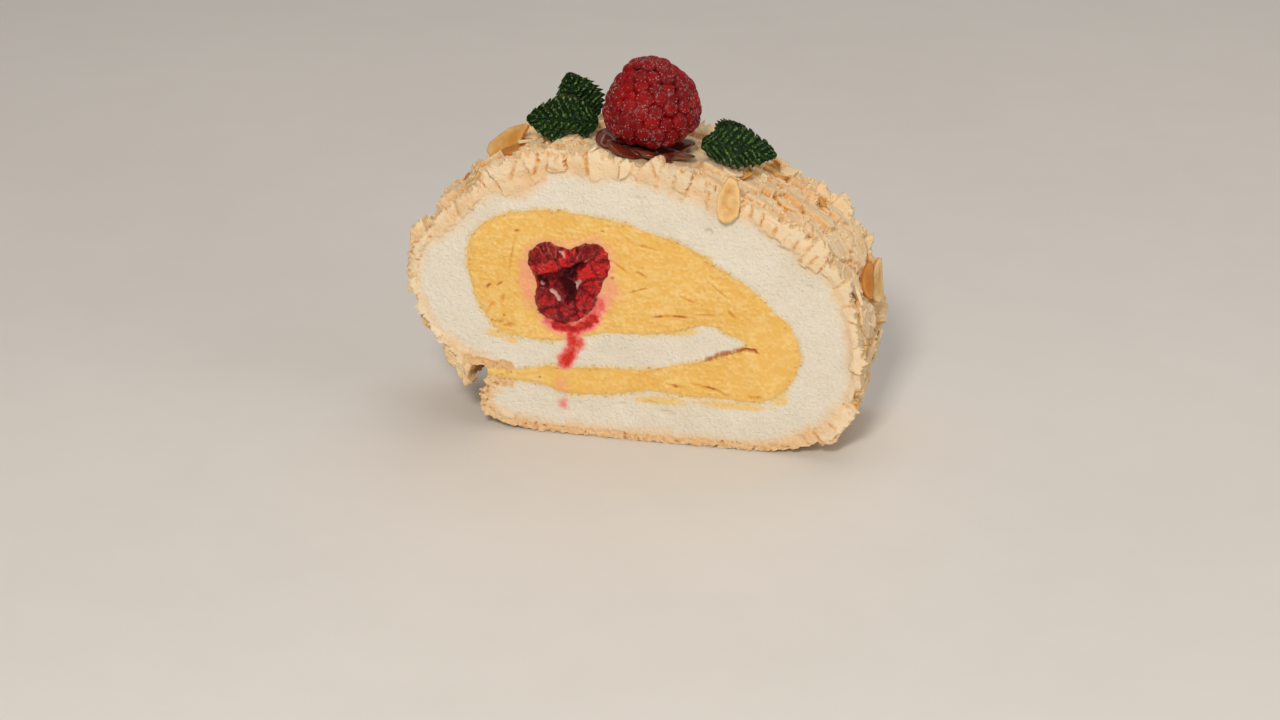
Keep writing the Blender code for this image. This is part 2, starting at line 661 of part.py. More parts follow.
def chocolate_rosette(collection, finish, tree):
    """A low piped swirl whose folds twist as they rise, lying on the crust."""
    cx, cy = ROSETTE_CENTRE
    spokes = ROSETTE_FOLDS * 4
    bm = bmesh.new()
    rings = []
    for share, rise in ROSETTE_RINGS:
        ring = []
        for i in range(spokes):
            angle = 2 * math.pi * i / spokes
            fold = math.cos(ROSETTE_FOLDS * (angle + ROSETTE_TWIST * rise))
            radius = ROSETTE_RADIUS * share * (1 + ROSETTE_FOLD_REACH * fold)
            x = cx + radius * math.cos(angle)
            y = cy + radius * math.sin(angle)
            lift = ROSETTE_HEIGHT * rise * (1 + ROSETTE_FOLD_LIFT * fold * (share > 0.5))
            ring.append(bm.verts.new((x, y, crust_below(tree, x, y) + ROSETTE_GAP + lift)))
        rings.append(ring)
    for low, high in zip(rings, rings[1:]):
        for i in range(spokes):
            j = (i + 1) % spokes
            bm.faces.new((low[i], low[j], high[j], high[i]))
    for ring, rise in ((rings[0], 0), (rings[-1], ROSETTE_RINGS[-1][1])):
        lift = ROSETTE_GAP + rise * ROSETTE_HEIGHT
        hub = bm.verts.new((cx, cy, crust_below(tree, cx, cy) + lift))
        for i in range(spokes):
            bm.faces.new((ring[i], ring[(i + 1) % spokes], hub))
    return object_from(bm, "chocolate_rosette", collection, finish)


def mint_leaf(name, collection, finish, tree, base, tip, facing, width, cup, arch):
    """A toothed leaf from base to tip, cupped across and arched along, kept clear of the crust.

    base, tip, width, cup and arch are in millimetres; facing is the way its upper side looks."""
    base = Vector(base) * MM
    tip = Vector(tip) * MM
    along = tip - base
    facing = Vector(facing).normalized()
    side = along.cross(facing).normalized()
    up = side.cross(along).normalized()
    bm = bmesh.new()
    rows = []
    for row in range(LEAF_ROWS):
        u = row / (LEAF_ROWS - 1)
        spread = math.sin(math.pi * min(1.0, u * 0.96 + 0.03)) ** 0.75 * (1.08 - 0.35 * u)
        tooth = 1 + LEAF_TOOTH * (1 if row % 2 else -1)
        half = max(0.5 * MM, width / 2 * MM * spread * tooth)
        placed = []
        for column in range(LEAF_COLUMNS + 1):
            v = 2 * column / LEAF_COLUMNS - 1
            ripple = LEAF_RIPPLE * math.sin(LEAF_RIPPLES * math.pi * u + 1.2 * abs(v))
            height = cup * v * v + arch * math.sin(math.pi * u) + ripple
            point = base + along * u + side * (half * v) + up * (height * MM)
            lowest = crust_below(tree, point.x, point.y) + LEAF_CLEARANCE
            point.z = max(point.z, lowest)
            placed.append(bm.verts.new(point))
        rows.append(placed)
    for near, far in zip(rows, rows[1:]):
        for a, b, c, d in zip(near, near[1:], far[1:], far):
            bm.faces.new((a, b, c, d))
    bmesh.ops.triangulate(bm, faces=bm.faces)
    mesh = bpy.data.meshes.new(name)
    bm.to_mesh(mesh)
    bm.free()
    leaf = link(bpy.data.objects.new(name, mesh), collection, finish)
    thicken = leaf.modifiers.new("thickness", "SOLIDIFY")
    thicken.thickness = LEAF_THICKNESS
    thicken.offset = 0.0
    thicken.use_even_offset = False
    return leaf


def mesh_tree(obj):
    bm = bmesh.new()
    bm.from_mesh(obj.data)
    tree = BVHTree.FromBMesh(bm)
    bm.free()
    return tree


def main():
    for obj in list(bpy.data.objects):
        bpy.data.objects.remove(obj)
    noise.seed_set(SEED)
    slice_parts = bpy.data.collections.new("meringue_roulade_slice")
    bpy.context.scene.collection.children.link(slice_parts)

    meringue_finish = material("meringue", (0.90, 0.80, 0.64), 0.85, 0.1)
    cream_finish = material("cream", (0.86, 0.55, 0.16), 0.6, 0.1)
    berry_finish = material("raspberry", (0.42, 0.01, 0.03), 0.35, 0.1)
    leaf_finish = material("mint_leaf", (0.03, 0.09, 0.02), 0.5)
    chocolate_finish = material("chocolate", (0.13, 0.03, 0.015), 0.2)

    body = meringue(slice_parts, meringue_finish)
    front_berry = (FRONT, 1, 1.0, (0.0, 0.0))
    back_berry = (BACK, -1, BACK_BERRY_SCALE, BACK_BERRY_SHIFT)
    pockets = [berry_pocket(*berry, slice_parts) for berry in (front_berry, back_berry)]
    cream_filling(slice_parts, cream_finish, pockets)
    cut_raspberry("raspberry_front_cut", slice_parts, berry_finish, *front_berry)
    cut_raspberry("raspberry_back_cut", slice_parts, berry_finish, *back_berry)

    tree = mesh_tree(body)
    chocolate_rosette(slice_parts, chocolate_finish, tree)
    whole_raspberry(slice_parts, berry_finish)
    for name, shape in LEAVES.items():
        mint_leaf(name, slice_parts, leaf_finish, tree, *shape)


main()
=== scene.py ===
"""The looks of a slice of meringue roulade: broken crust, airy meringue, yellow cream, raspberries,
chocolate, mint and toasted almonds. Metres, X along the cut face, Y back through the slice, Z up."""

import math
import random

import bmesh
import bpy
import numpy as np
from mathutils import Matrix, Vector, noise
from mathutils.bvhtree import BVHTree
from mathutils.geometry import delaunay_2d_cdt
from mathutils.kdtree import KDTree


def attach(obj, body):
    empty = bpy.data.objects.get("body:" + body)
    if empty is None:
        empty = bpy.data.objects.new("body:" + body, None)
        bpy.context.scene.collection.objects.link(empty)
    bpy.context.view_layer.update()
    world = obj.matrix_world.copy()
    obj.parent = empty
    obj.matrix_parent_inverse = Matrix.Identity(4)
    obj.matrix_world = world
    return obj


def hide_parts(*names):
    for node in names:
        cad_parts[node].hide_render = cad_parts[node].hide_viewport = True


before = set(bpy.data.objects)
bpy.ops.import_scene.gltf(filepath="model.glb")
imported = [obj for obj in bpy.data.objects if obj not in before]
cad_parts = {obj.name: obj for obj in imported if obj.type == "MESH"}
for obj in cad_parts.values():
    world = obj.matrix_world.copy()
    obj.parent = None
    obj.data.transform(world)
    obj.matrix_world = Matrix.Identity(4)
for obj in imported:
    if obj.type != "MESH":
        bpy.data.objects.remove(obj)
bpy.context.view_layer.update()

MM = 0.001
SEED = 7
FRONT = -15 * MM
BACK = 15 * MM
SLICE_DEPTH = BACK - FRONT

# The crusted side of the rolled sheet, from its outer end at the lower left, along the base, up the
# right flank, over the top and down the left side to the slit. Millimetres, X and Z.
SHEET_OUTSIDE = [
    (-32.5, 12.3), (-34, 9), (-33.5, 5.5), (-30, 2.6), (-26, 0.7), (-20, 0), (-12, 0),
    (-4, 0), (4, 0), (12, 0), (20, 0), (27, 0), (33, 0.8), (39, 2.8),
    (43.5, 6.5), (46.5, 11.5), (48.3, 18), (48.6, 25), (47.3, 33), (44.8, 39.5), (40, 45.5),
    (33, 50.5), (24, 55.3), (14, 59.3), (4, 62.2), (-6, 63.4), (-15, 62.8), (-24, 60.4),
    (-32, 56.5), (-39, 51), (-44.5, 45), (-47.8, 38.5), (-48.5, 32), (-46.6, 26),
    (-43.5, 21), (-40, 17.5), (-36, 15.2), (-32.8, 14.3),
]
# The cream side, from the slit along the underside of the inner tongue, round its tip and round
# the filling, back to the outer end.
SHEET_INSIDE = [
    (-32.8, 14.3), (-26, 14.2), (-18.5, 15.7), (-12.9, 15.8), (-5.6, 16.5), (1.8, 16.6), (8, 18),
    (13, 19.2), (18, 20.8), (22, 22.5), (24.6, 24), (24.4, 25), (21.5, 26.2), (17.5, 28),
    (13, 27.3), (8, 25.5), (0, 24.7), (-6, 24.5), (-12, 22.8), (-18, 21.7), (-24, 21.9),
    (-29, 22.8), (-32, 26), (-34.8, 31), (-36.2, 37), (-36, 42), (-34.3, 45.7),
    (-30.5, 48.6), (-25, 50.5), (-18, 51.2), (-10, 50.8), (-3, 49.8), (4, 47.9), (10.5, 46),
    (15.5, 43.5), (20, 40.5), (25.7, 37.2), (30, 33), (34, 29.3), (36.3, 25), (36.2, 20.5),
    (34.4, 16.3), (31.2, 13), (26, 11.3), (19.5, 11.6), (11, 11.5), (4, 12), (-3, 10.6),
    (-10, 9.8), (-15, 9.9), (-20.5, 11.4), (-27.4, 12), (-32.5, 12.3),
]
# How finely the surfaces are made, and how sharp an edge has to be to stay a crease, in degrees.
CURVE_STEPS = 12
CRUST_STEP = 0.32 * MM
CRUST_ROWS = 94
CRUMB_PITCH = 0.30 * MM
CREAM_PITCH = 0.28 * MM
BERRY_PITCH = 0.22 * MM
CREASE_ANGLE = 62

# The broken crust: plates of about this size, lifted and tipped, with cracks between them.
PLATE_SIZE = (8.0 * MM, 7.0 * MM)
PLATE_WARP = 0.35
PLATE_WARP_RATE = 1.7
PLATE_LIFT = 1.6 * MM
PLATE_TIP = 0.14
CRACK_SHARE = 0.060
CRACK_DEPTH = 0.7 * MM
# Smaller shingles within a plate: size, lift and tip.
SHINGLE_SIZE = 6.4 * MM
SHINGLE_LIFT = 0.55 * MM
SHINGLE_TIP = 0.12
# The share of the plates that has no shingles.
SMOOTH_PLATES = 0.60
# The relief fades out towards the base and the slit.
BASE_FADE_START = 0.3 * MM
BASE_FADE = 4.0 * MM
SLIT_FADE = 6.0 * MM
# Above this height the crust is the top of the slice.
TOP_LEVEL = 50 * MM

# Slabs that the crust breaks into along the cut: lengths, how far they stand out and their tips.
SLAB_LENGTH = (3.2 * MM, 6.6 * MM)
SLAB_LIFT = 0.9 * MM
SLAB_TIP = 0.20
SLAB_RISE = (0.8 * MM, 3.6 * MM)
SLAB_THICKNESS = (1.5 * MM, 3.2 * MM)
# The place of the almond slice on the front rim, X, Z and radius in millimetres.
ALMOND_SEAT = (21, 56.6, 5.2)
# The crumbly mouth of the slit: tracks of X and Z, then radius.
SLIT_MOUTH = [
    ([(-36.5, 15.4), (-32, 14.8), (-27.5, 14.9)], 1.5),
    ([(-33.4, 8.6), (-32.6, 11.2), (-27.5, 11.2)], 1.5),
]
# How far the crust frays along both cut edges.
EDGE_FRAY = 1.1 * MM
SLAB_CRACK = 0.36 * MM
# The edge between meringue and cream wanders by this much.
EDGE_WANDER = 0.34 * MM
# How wide the crust shows on the cut face: places along its edge and widths, in millimetres.
CRUST_BAND = [
    (-33.5, 7, 2.6), (-28, 1.5, 2.4), (-10, 0, 2), (10, 0, 1.9), (30, 0.3, 2),
    (41, 4.5, 2.6), (47.5, 15, 1.4), (48.4, 24, 1.1), (46.5, 35, 1.5), (43.5, 41, 2.3),
    (38, 47, 3), (28, 53, 3.4), (21, 56.5, 4.3), (12, 60, 4.2), (4, 62.2, 2.6),
    (-3, 63.2, 3.9), (-9, 63.3, 5.8), (-15, 62.8, 4), (-20, 61.6, 2.9), (-26, 59.6, 4.8),
    (-32, 56.5, 3.2), (-38, 52, 2.7), (-42, 48.2, 3.4), (-47, 40, 1.4),
    (-48.5, 32, 0.9), (-46, 25, 0.8), (-40, 17.5, 1.5), (-34, 14.6, 1.7),
]

# Air bubbles that the cut opened: X, Z, half width, half height and depth in millimetres.
BUBBLES = [
    (16.4, 49, 1, 1, 0.9), (4, 9, 2, 0.7, 0.5), (7.7, 7, 1.9, 0.8, 0.55),
    (-2.1, 8.3, 1.3, 0.5, 0.35), (1, 55.4, 1.1, 0.6, 0.4), (38, 38.6, 1, 0.6, 0.35),
]
# Cream dragged over the meringue: X, Z, half width, half height, in millimetres.
CREAM_SMEARS = [
    (-29.6, 22.4, 3.4, 1.3), (-26.6, 21, 1.8, 0.9), (1, 25.6, 8, 0.9), (10, 26.2, 4.6, 1.1),
    (6, 9.9, 7, 1.2), (22, 10.2, 9, 1.1), (32, 13, 2.4, 2.2), (14.8, 43.2, 3, 1.1),
]

# Loose flakes of crust over the flanks and the top, in lanes from front to back.
FLAKE_PATH_STEP = 1.0 * MM
FLAKE_FIRST_STEP = 75
FLAKE_LAST_STEP = 12
FLAKE_EVERY = 9
FLAKE_LANES = 3
FLAKE_LENGTH = (4.5 * MM, 7.5 * MM)
FLAKE_WIDTH = (3.2 * MM, 5.0 * MM)
FLAKE_THICKNESS = 1.1 * MM
FLAKE_LIFT = (0.7 * MM, 1.3 * MM)
FLAKE_TILT = (0.5, 0.6, 0.5)
# Free flakes stand out of the crust here and there. The rest are laid into it as plates.
FREE_EVERY = 5
FREE_LIFT = 0.3 * MM
FREE_SIZE = 0.85
FREE_THICKNESS = 0.8 * MM
LAID_RAGGEDNESS = 0.32
LAID_TILT = 0.42
LAID_SIZE = 1.34
FLAKE_SIDES = 6
FLAKE_RAGGEDNESS = 0.22
FLAKE_LOWEST = 8 * MM
# Rings of a flake from its rim inwards: shares of its outline and of its thickness.
FLAKE_RINGS = [(1.0, 0.6), (0.965, 0.93), (0.78, 1.0), (0.42, 1.0)]
EDGE_STEPS = 7

# Where slabs of crust stand along the top edge of each cut face, X and Z in millimetres.
RIM_BLOCKS = [
    (-30, 57.5), (-24.5, 60.2), (-19, 61.8), (-13.5, 62.9), (-8.5, 63.3), (6.5, 61.4), (11, 60.6),
    (13.6, 60), (17, 57.8), (28, 53), (34, 49.5), (39.5, 45.5), (43.5, 40.5),
]

# Outlines of the loose bits at the cut faces, X and Z in millimetres.
HANGING_FLAKES = {
    # The flap that hangs over the slit.
    "flap": [
        (-42.2, 17.2), (-40.8, 19), (-38.6, 18.4), (-36.6, 16.8), (-35.4, 15), (-36.6, 13),
        (-36.9, 11.2), (-36, 9.8), (-37.4, 9.2), (-38.8, 10.8), (-39.6, 12.8), (-41.6, 14.8),
    ],
    "left_high": [(-48.8, 44.6), (-46.8, 46.4), (-44.6, 43.4), (-46.8, 38.6), (-49.2, 40)],
    "left_low": [(-49.8, 34.8), (-47.6, 35.2), (-47.8, 30), (-49.9, 30.2)],
    "foot": [(40.6, 5.4), (43.6, 7.8), (45.8, 6.4), (44.6, 3.9), (41.2, 2.6)],
}
# Depths of the pieces of the flap, front and back in shares of the slice's depth.
FLAP_SPANS = [(0, 0.42), (1, 0.60), (0.30, 0.75)]
# How far the heel is worn back beside the mouth of the slit, and where along the outline.
HEEL_WEAR = 1.5 * MM
HEEL_WORN = (0.6 * MM, 2.6 * MM, 5.0 * MM, 8.5 * MM)
HANGING_DEPTH = 5.5 * MM
# Rings of a loose bit, from front to back: shares of its depth and of its outline.
LUMP_RINGS = [
    (0.0, 0.25), (0.0, 0.5), (0.0, 0.72), (0.01, 0.9), (0.05, 1.0), (0.18, 1.0), (0.34, 1.04),
    (0.5, 0.98), (0.66, 1.02), (0.82, 0.97), (1.0, 0.7),
]

# Toasted almond slices: centre, the way it faces, length and width, in millimetres, and toasting.
ALMONDS = [
    ((-32.2, 4.8, 59.8), (-0.42, -0.62, 0.66), 11.4, 7.6, 0.60),
    ((-29, 0.5, 59.6), (-0.4, -0.3, 0.9), 7.5, 5, 0.95),
    ((20.9, -15.9, 56.9), (0.14, -0.985, 0.10), 10.4, 6.2, 0.20),
    ((48.6, -2, 36.5), (0.85, -0.55, 0.2), 8, 4.4, 0.90),
    ((49.6, 4, 34.6), (0.9, -0.35, 0.1), 10, 6, 0.08),
    ((19.5, -1.5, 57.9), (0.3, -0.4, 0.9), 7, 4.6, 0.6),
    ((26, 10.5, 55), (0.4, 0.2, 0.9), 9, 5.2, 0.4),
    ((-16.5, 10.5, 63.2), (-0.1, 0.3, 0.95), 9.5, 5.8, 0.5),
    ((-38.5, -2.5, 52.2), (-0.8, -0.2, 0.6), 8.4, 5.2, 0.3),
    ((-44, 8.5, 46.2), (-0.9, 0.2, 0.45), 8.5, 5.2, 0.6),
    ((38.5, 8.5, 47.6), (0.7, 0.2, 0.7), 8.4, 5, 0.7),
    ((4, 12.3, 62.9), (0.1, 0.7, 0.7), 9, 5.4, 0.45),
]
# The way a slice lies, by its number, where it doesn't stand upright.
ALMOND_LEANS = {0: (0.80, 0.15, 0.55)}
ALMOND_THICKNESS = 1.0 * MM
ALMOND_SIDES = 12
ALMOND_RAGGEDNESS = 0.09
ALMOND_POINT = 0.45

# No crumb is strewn lower than this, so that none goes through the table.
CRUMB_LOWEST = 0.9 * MM

# The chocolate rosette, and the smooth footprint of the toppings.
ROSETTE_CENTRE = (0.5 * MM, -3.2 * MM)
ROSETTE_RADIUS = 9.6 * MM
ROSETTE_HEIGHT = 1.8 * MM
ROSETTE_FOLDS = 7
ROSETTE_FOLD_STEPS = 32
ROSETTE_LEVELS = 49
ROSETTE_TWIST = 0.55
ROSETTE_FOLD_REACH = 0.15
ROSETTE_FOLD_LIFT = 0.30
ROSETTE_RINGS = [
    (0.90, 0), (1, 0.3), (0.98, 0.72), (0.9, 1), (0.79, 0.7), (0.6, 0.4), (0.3, 0.4),
]
ROSETTE_GAP = 0.45 * MM
FOOTPRINT_RADIUS = 13.0 * MM
FOOTPRINT_FADE = 3.0 * MM
FOOTPRINT_MARGIN = 2.0 * MM

# The whole raspberry: height above the base and outer radius in millimetres, drupelets included.
BERRY_CENTRE = (1.5 * MM, -3.0 * MM)
BERRY_PROFILE = [
    (67, 8.6), (68.6, 10.2), (70.7, 10.8), (73.5, 10.2), (76.4, 8.8), (79.1, 6.7), (81.4, 4),
    (82.8, 1.2),
]
BERRY_MIDDLE = 71.0 * MM
BEAD_RADIUS = 2.0 * MM
BEAD_PITCH = 2.95 * MM
BEAD_RING_STEP = 2.55 * MM
BEAD_RINGS = 10
BEAD_SIDES = 16
# A drupelet of unit radius: its half height, the depth of its dimple and the bottom of that.
BEAD_HALF_HEIGHT = 0.82
BEAD_DIMPLE = 0.07
BEAD_TOP = 0.74
# The flesh under the drupelets: how far inside their outline, its top and its sides.
CORE_INSET = 1.9
CORE_TOP = 80.6
CORE_SIDES = 48

# The berry that the front cut goes through: its outline on the cut face, X and Z in millimetres.
CUT_BERRY_OUTLINE = [
    (-23, 39.3), (-22, 42.6), (-19, 44.4), (-15.7, 43.6), (-13.2, 43.4), (-10.2, 44.8),
    (-7, 44.6), (-4.9, 42.2), (-5, 38.3), (-6.6, 35), (-7.9, 30.4), (-10.6, 27.5), (-15.6, 25.8),
    (-19.2, 27), (-21.5, 29.8), (-21.3, 34.5),
]
CUT_BERRY_DEPTH = 11 * MM
# Rings of the berry behind its cut: shares of its depth and of its outline.
CUT_BERRY_RINGS = [(0.2, 1.0), (0.5, 0.9), (0.75, 0.7), (0.92, 0.4)]
# How much smaller its pocket in the cream is, so that no gap shows, and how much deeper.
POCKET_SHARE = 0.975
POCKET_GAP = 0.6 * MM
# Cut drupelets: X, Z, radius, how far they stand out and how bright they are.
CUT_DRUPELETS = [
    (-20.4, 41.2, 2.7, 0.9, 0.35), (-17.6, 42.4, 2.4, 1, 0.25), (-15.2, 41, 2.6, 0.7, 0.75),
    (-18.6, 38.3, 3.4, 0.8, 0.85), (-21, 38, 2.3, 0.6, 0.55), (-9.6, 42.6, 2.6, 1, 0.3),
    (-7, 42.4, 2.4, 0.9, 0.45), (-6.9, 39.2, 2.6, 0.8, 0.7), (-9.4, 37.6, 2.7, 0.7, 0.9),
    (-12.4, 41.8, 2.2, 0.7, 0.5), (-8.2, 34.8, 2.6, 0.8, 0.6), (-10.6, 31.2, 3, 0.9, 0.55),
    (-14.2, 29.4, 2.9, 0.9, 0.4), (-18.4, 31.4, 3.2, 0.9, 0.45), (-17.6, 28.2, 2.6, 0.9, 0.5),
    (-13, 27.4, 2.2, 0.8, 0.5), (-20, 34.2, 2.2, 0.5, 0.6), (-11.4, 28.4, 2, 0.7, 0.7),
]
# Splits in the crust on the front cut: the ends of each in X and Z, and its strength.
CRUST_SPLITS = [
    ([(-20.4, 64.4), (-20.3, 61.6), (-21.2, 59.2)], 1), ([(-9.8, 66), (-9.8, 62), (-9.2, 57.8)], 1),
    ([(-4.6, 65.4), (-3.9, 63)], 0.9), ([(0.4, 63.6), (0, 61.4)], 0.7),
    ([(10.2, 65.4), (11, 62.2)], 1), ([(16, 60.8), (15.7, 57.9)], 0.7),
    ([(9.4, 61), (8.8, 57.6), (11.6, 56.9)], 0.8), ([(-18.2, 60.9), (-15.4, 60.4), (-12.2, 59.6)], 0.7),
    ([(-25, 61.8), (-26.2, 58)], 0.8), ([(-15.6, 66.2), (-16.4, 62.4)], 0.7),
    ([(-6.8, 66.6), (-6.2, 63.6)], 0.6), ([(3.9, 64.4), (5, 60.6)], 0.8),
    ([(26, 55.6), (24.6, 51.6)], 0.7), ([(31, 51.4), (29.4, 48.4)], 0.8),
    ([(35.6, 49), (34, 45.6)], 0.9), ([(39.6, 45.6), (37.2, 42.8)], 0.8),
    ([(-32.6, 58), (-33.4, 54.4)], 0.6), ([(-39, 52.4), (-38, 48.8)], 0.6),
]
# The radius of each split.
SPLIT_RADIUS = 0.42
# How far juice stains round the cut berry, and how strongly.
JUICE_HALO = (1.2, 0.26)
# The hollow in the middle of the cut berry: tracks of X and Z, then radius.
CUT_CAVITY = [
    ([(-19.6, 35.4), (-17.4, 36.4), (-15, 36.6), (-13.4, 37.6)], 1.5),
    ([(-12.8, 38.4), (-11, 39.6)], 0.9),
    ([(-15.6, 35.8), (-14, 34.2), (-13.4, 32)], 1.5),
]
# The place in the cut berry that its fibres run out from, X and Z in millimetres.
BERRY_HUB = (-15.2, 35)
BERRY_FIBRES = 46
CUT_CAVITY_DEPTH = 0.9
# Pale pith in the cut berry: tracks of X and Z, then radius.
PITH = [
    ([(-14.9, 42.3), (-14.7, 41.3)], 0.34), ([(-15.6, 42.4), (-14.9, 41.7)], 0.28),
    ([(-17.5, 33.5), (-16.5, 32.8), (-16, 31.5)], 0.42),
    ([(-12.2, 35.4), (-11.3, 36), (-12.4, 34.4)], 0.46), ([(-20, 34.8), (-19.5, 34.5)], 0.22),
]
# Juice soaked into the cream and the meringue: tracks of X and Z, then radius and strength.
JUICE = [
    ([(-18, 26.6), (-14.4, 25), (-10.6, 26.2), (-8.4, 28.6), (-7.2, 31.2)], 2.1, 0.80),
    ([(-16.6, 25.6), (-13.2, 24.6), (-10.2, 26), (-8.6, 27.6)], 1.5, 1.3),
    ([(-13.6, 23.6), (-13, 20.6), (-14.2, 18.4), (-14.9, 16.9)], 1.7, 1),
    ([(-11.4, 21.6), (-13.4, 20.4)], 1.3, 0.9),
    ([(-15.5, 7.4), (-15.4, 7)], 1.1, 0.5),
    ([(-15.6, 12.4), (-15.8, 10.6)], 1.5, 0.22),
    ([(-6.4, 31.8), (-5, 35)], 2.5, 0.34),
    ([(-23.6, 38.6), (-23.2, 34.6), (-22.4, 30.4)], 1.7, 0.34),
]
# The berry on the back cut is like the front one, moved in millimetres and scaled.
BACK_BERRY_SHIFT = (12, 0.6)
BACK_BERRY_SCALE = 0.84
CUT_BERRIES = [("front", FRONT, 1, (0, 0)), ("back", BACK, BACK_BERRY_SCALE, BACK_BERRY_SHIFT)]

# Marks in the cream: X, Z, half length, half width, turn in degrees, in millimetres.
CREAM_GOUGES = [
    (-28.8, 30.4, 1.3, 0.45, 70), (-27.4, 24.4, 1.6, 0.5, 15), (2, 38.4, 1.4, 0.35, -30),
    (21.5, 31, 1.5, 0.4, -50), (9.3, 13.6, 2.2, 0.4, -8), (15.8, 13.7, 3, 0.4, -12),
    (19.6, 12.9, 1.8, 0.45, -25), (26.6, 12.5, 1.9, 0.5, 5), (5, 17.4, 1.6, 0.5, 10),
    (-3.5, 40.2, 3.4, 0.22, -35), (3, 44.6, 2.6, 0.2, -10), (8.5, 29.4, 3.8, 0.35, 4),
    (15.9, 30.4, 2.2, 0.35, 2), (-31.6, 28.2, 1.8, 0.3, 60), (-26.4, 41, 4.6, 0.2, 78),
    (18.6, 36.2, 2.8, 0.22, -40), (-29.8, 25, 1.4, 0.5, 10), (1.5, 34.8, 2.6, 0.25, 20),
    (12, 33.6, 2, 0.3, -20),
]
# Golden flecks in the cream, given as the marks are.
CREAM_FLECKS = [
    (-25.2, 46.3, 0.75, 0.26, 8), (-31.7, 33.3, 0.8, 0.38, 40), (-29.2, 33.9, 1, 0.22, 35),
    (-28.3, 26.7, 0.4, 0.2, 0), (-6.3, 47.6, 0.7, 0.18, -15), (-4.3, 37.2, 0.5, 0.35, 0),
    (-20.5, 13, 0.3, 0.25, 0), (17.3, 13.9, 1.6, 0.3, -12), (9.6, 13.4, 0.6, 0.25, 0),
    (10.5, 29.6, 1.9, 0.26, 2), (5.8, 29.2, 1.2, 0.24, 6), (27.2, 22.9, 0.5, 0.25, 0),
]
# The crumbly crack at the tip of the inner tongue, X and Z in millimetres.
TIP_CRACK = [(16.3, 20.2), (18.8, 21.5), (21.8, 22.5), (24.7, 23.6), (26.8, 23.2)]
# Where the cream lies smooth: X, Z and radius.
CREAM_SMOOTH = [(31, 24, 7.5), (-9, 12.8, 10), (28, 17, 7), (-20, 13.2, 8)]

LEAF_THICKNESS = 0.5 * MM
LEAF_CLEARANCE = 0.95 * MM
LEAF_RIPPLES = 10
LEAF_RIPPLE = 0.28
LEAF_TOOTH = 0.15
LEAF_ROWS = 96
LEAF_COLUMNS = 36
LEAF_SIDE_VEINS = 10
# Base, tip, the way the upper side looks, width, cup across and arch along, in millimetres.
LEAVES = {
    "left_front": ((-11, 0.6, 66.2), (-26.6, -0.4, 66.4), (0, -0.85, 0.5), 11.5, 0.8, 1.2),
    "left_back": ((-14, 4.6, 64.9), (-19, 5, 75.6), (-0.15, -0.95, 0.35), 12, -0.8, 0.6),
    "right_front": ((11.8, -1, 63.4), (27.2, 3.6, 60.6), (0.2, -0.65, 0.75), 11, 0.6, 1.2),
    "right_back": ((14.2, 5.6, 61.2), (19.8, 6.8, 65.8), (0.1, -0.9, 0.5), 10, -0.8, 0.5),
}

# What is strewn: spacing, density, sizes, tilt and lift, by the names of the scatter tree's sockets.
SHARD_STREWING = {"Spacing": 5.0 * MM, "Density": 15000.0, "Smallest": 0.5, "Largest": 1.1, "Tilt": 0.3,
                  "Lift": 0.15 * MM, "Seed": SEED + 31}
CRUMB_STREWING = {"Spacing": 1.3 * MM, "Density": 260000.0, "Smallest": 0.35, "Largest": 1.1, "Tilt": 1.5,
                  "Lift": 0.0, "Seed": SEED + 37}
FROST_STREWING = {"Spacing": 0.24 * MM, "Density": 4600000.0, "Smallest": 0.4, "Largest": 1.0, "Tilt": 1.5,
                  "Lift": 0.0, "Seed": SEED + 41}
SHARD_KINDS = 6
SHARD_THICKNESS = 0.55 * MM
CRUMB_KINDS = 4
CRUMB_RADIUS = 0.5 * MM
# Grains of frost on the berry.
GRAIN_KINDS = 3
GRAIN_RADIUS = 0.13 * MM
# Where frost rings each drupelet, as a share of the way from its pole, and the ring's width.
FROST_RING = (0.20, 0.07)
# Frost starts between these heights.
FROST_START = (64.5 * MM, 69 * MM)

# Linear colours.
SPONGE_WHITE = (0.85, 0.80, 0.69)
SPONGE_SHADE = (0.77, 0.71, 0.57)
# Painted shade in the crumb's pits and opened bubbles.
SPONGE_PORE_SHADE = (0.66, 0.60, 0.45)
CRUST_PALE = (0.89, 0.69, 0.43)
CRUST_PEACH = (0.86, 0.565, 0.29)
CRUST_RIM = (0.97, 0.87, 0.67)
# The crack gold here and the crack brown below: partly the crust's own colour, partly painted shade in the
# crevices.
CRUST_GOLD_AND_SHADE = (0.74, 0.36, 0.08)
CRUST_TOAST = (0.50, 0.17, 0.03)
CRUST_BROWN_AND_SHADE = (0.30, 0.085, 0.015)
CREAM_LIGHT = (0.91, 0.64, 0.24)
CREAM_YELLOW = (0.86, 0.53, 0.13)
CREAM_EDGE = (0.86, 0.50, 0.20)
# Painted shade in the gouges, torn places and pores of the cream.
CREAM_HOLLOW_SHADE = (0.66, 0.30, 0.04)
CREAM_FLECK = (0.48, 0.14, 0.02)
JUICE_PINK = (0.90, 0.30, 0.26)
JUICE_RED = (0.72, 0.035, 0.022)
JUICE_DEEP = (0.40, 0.006, 0.010)
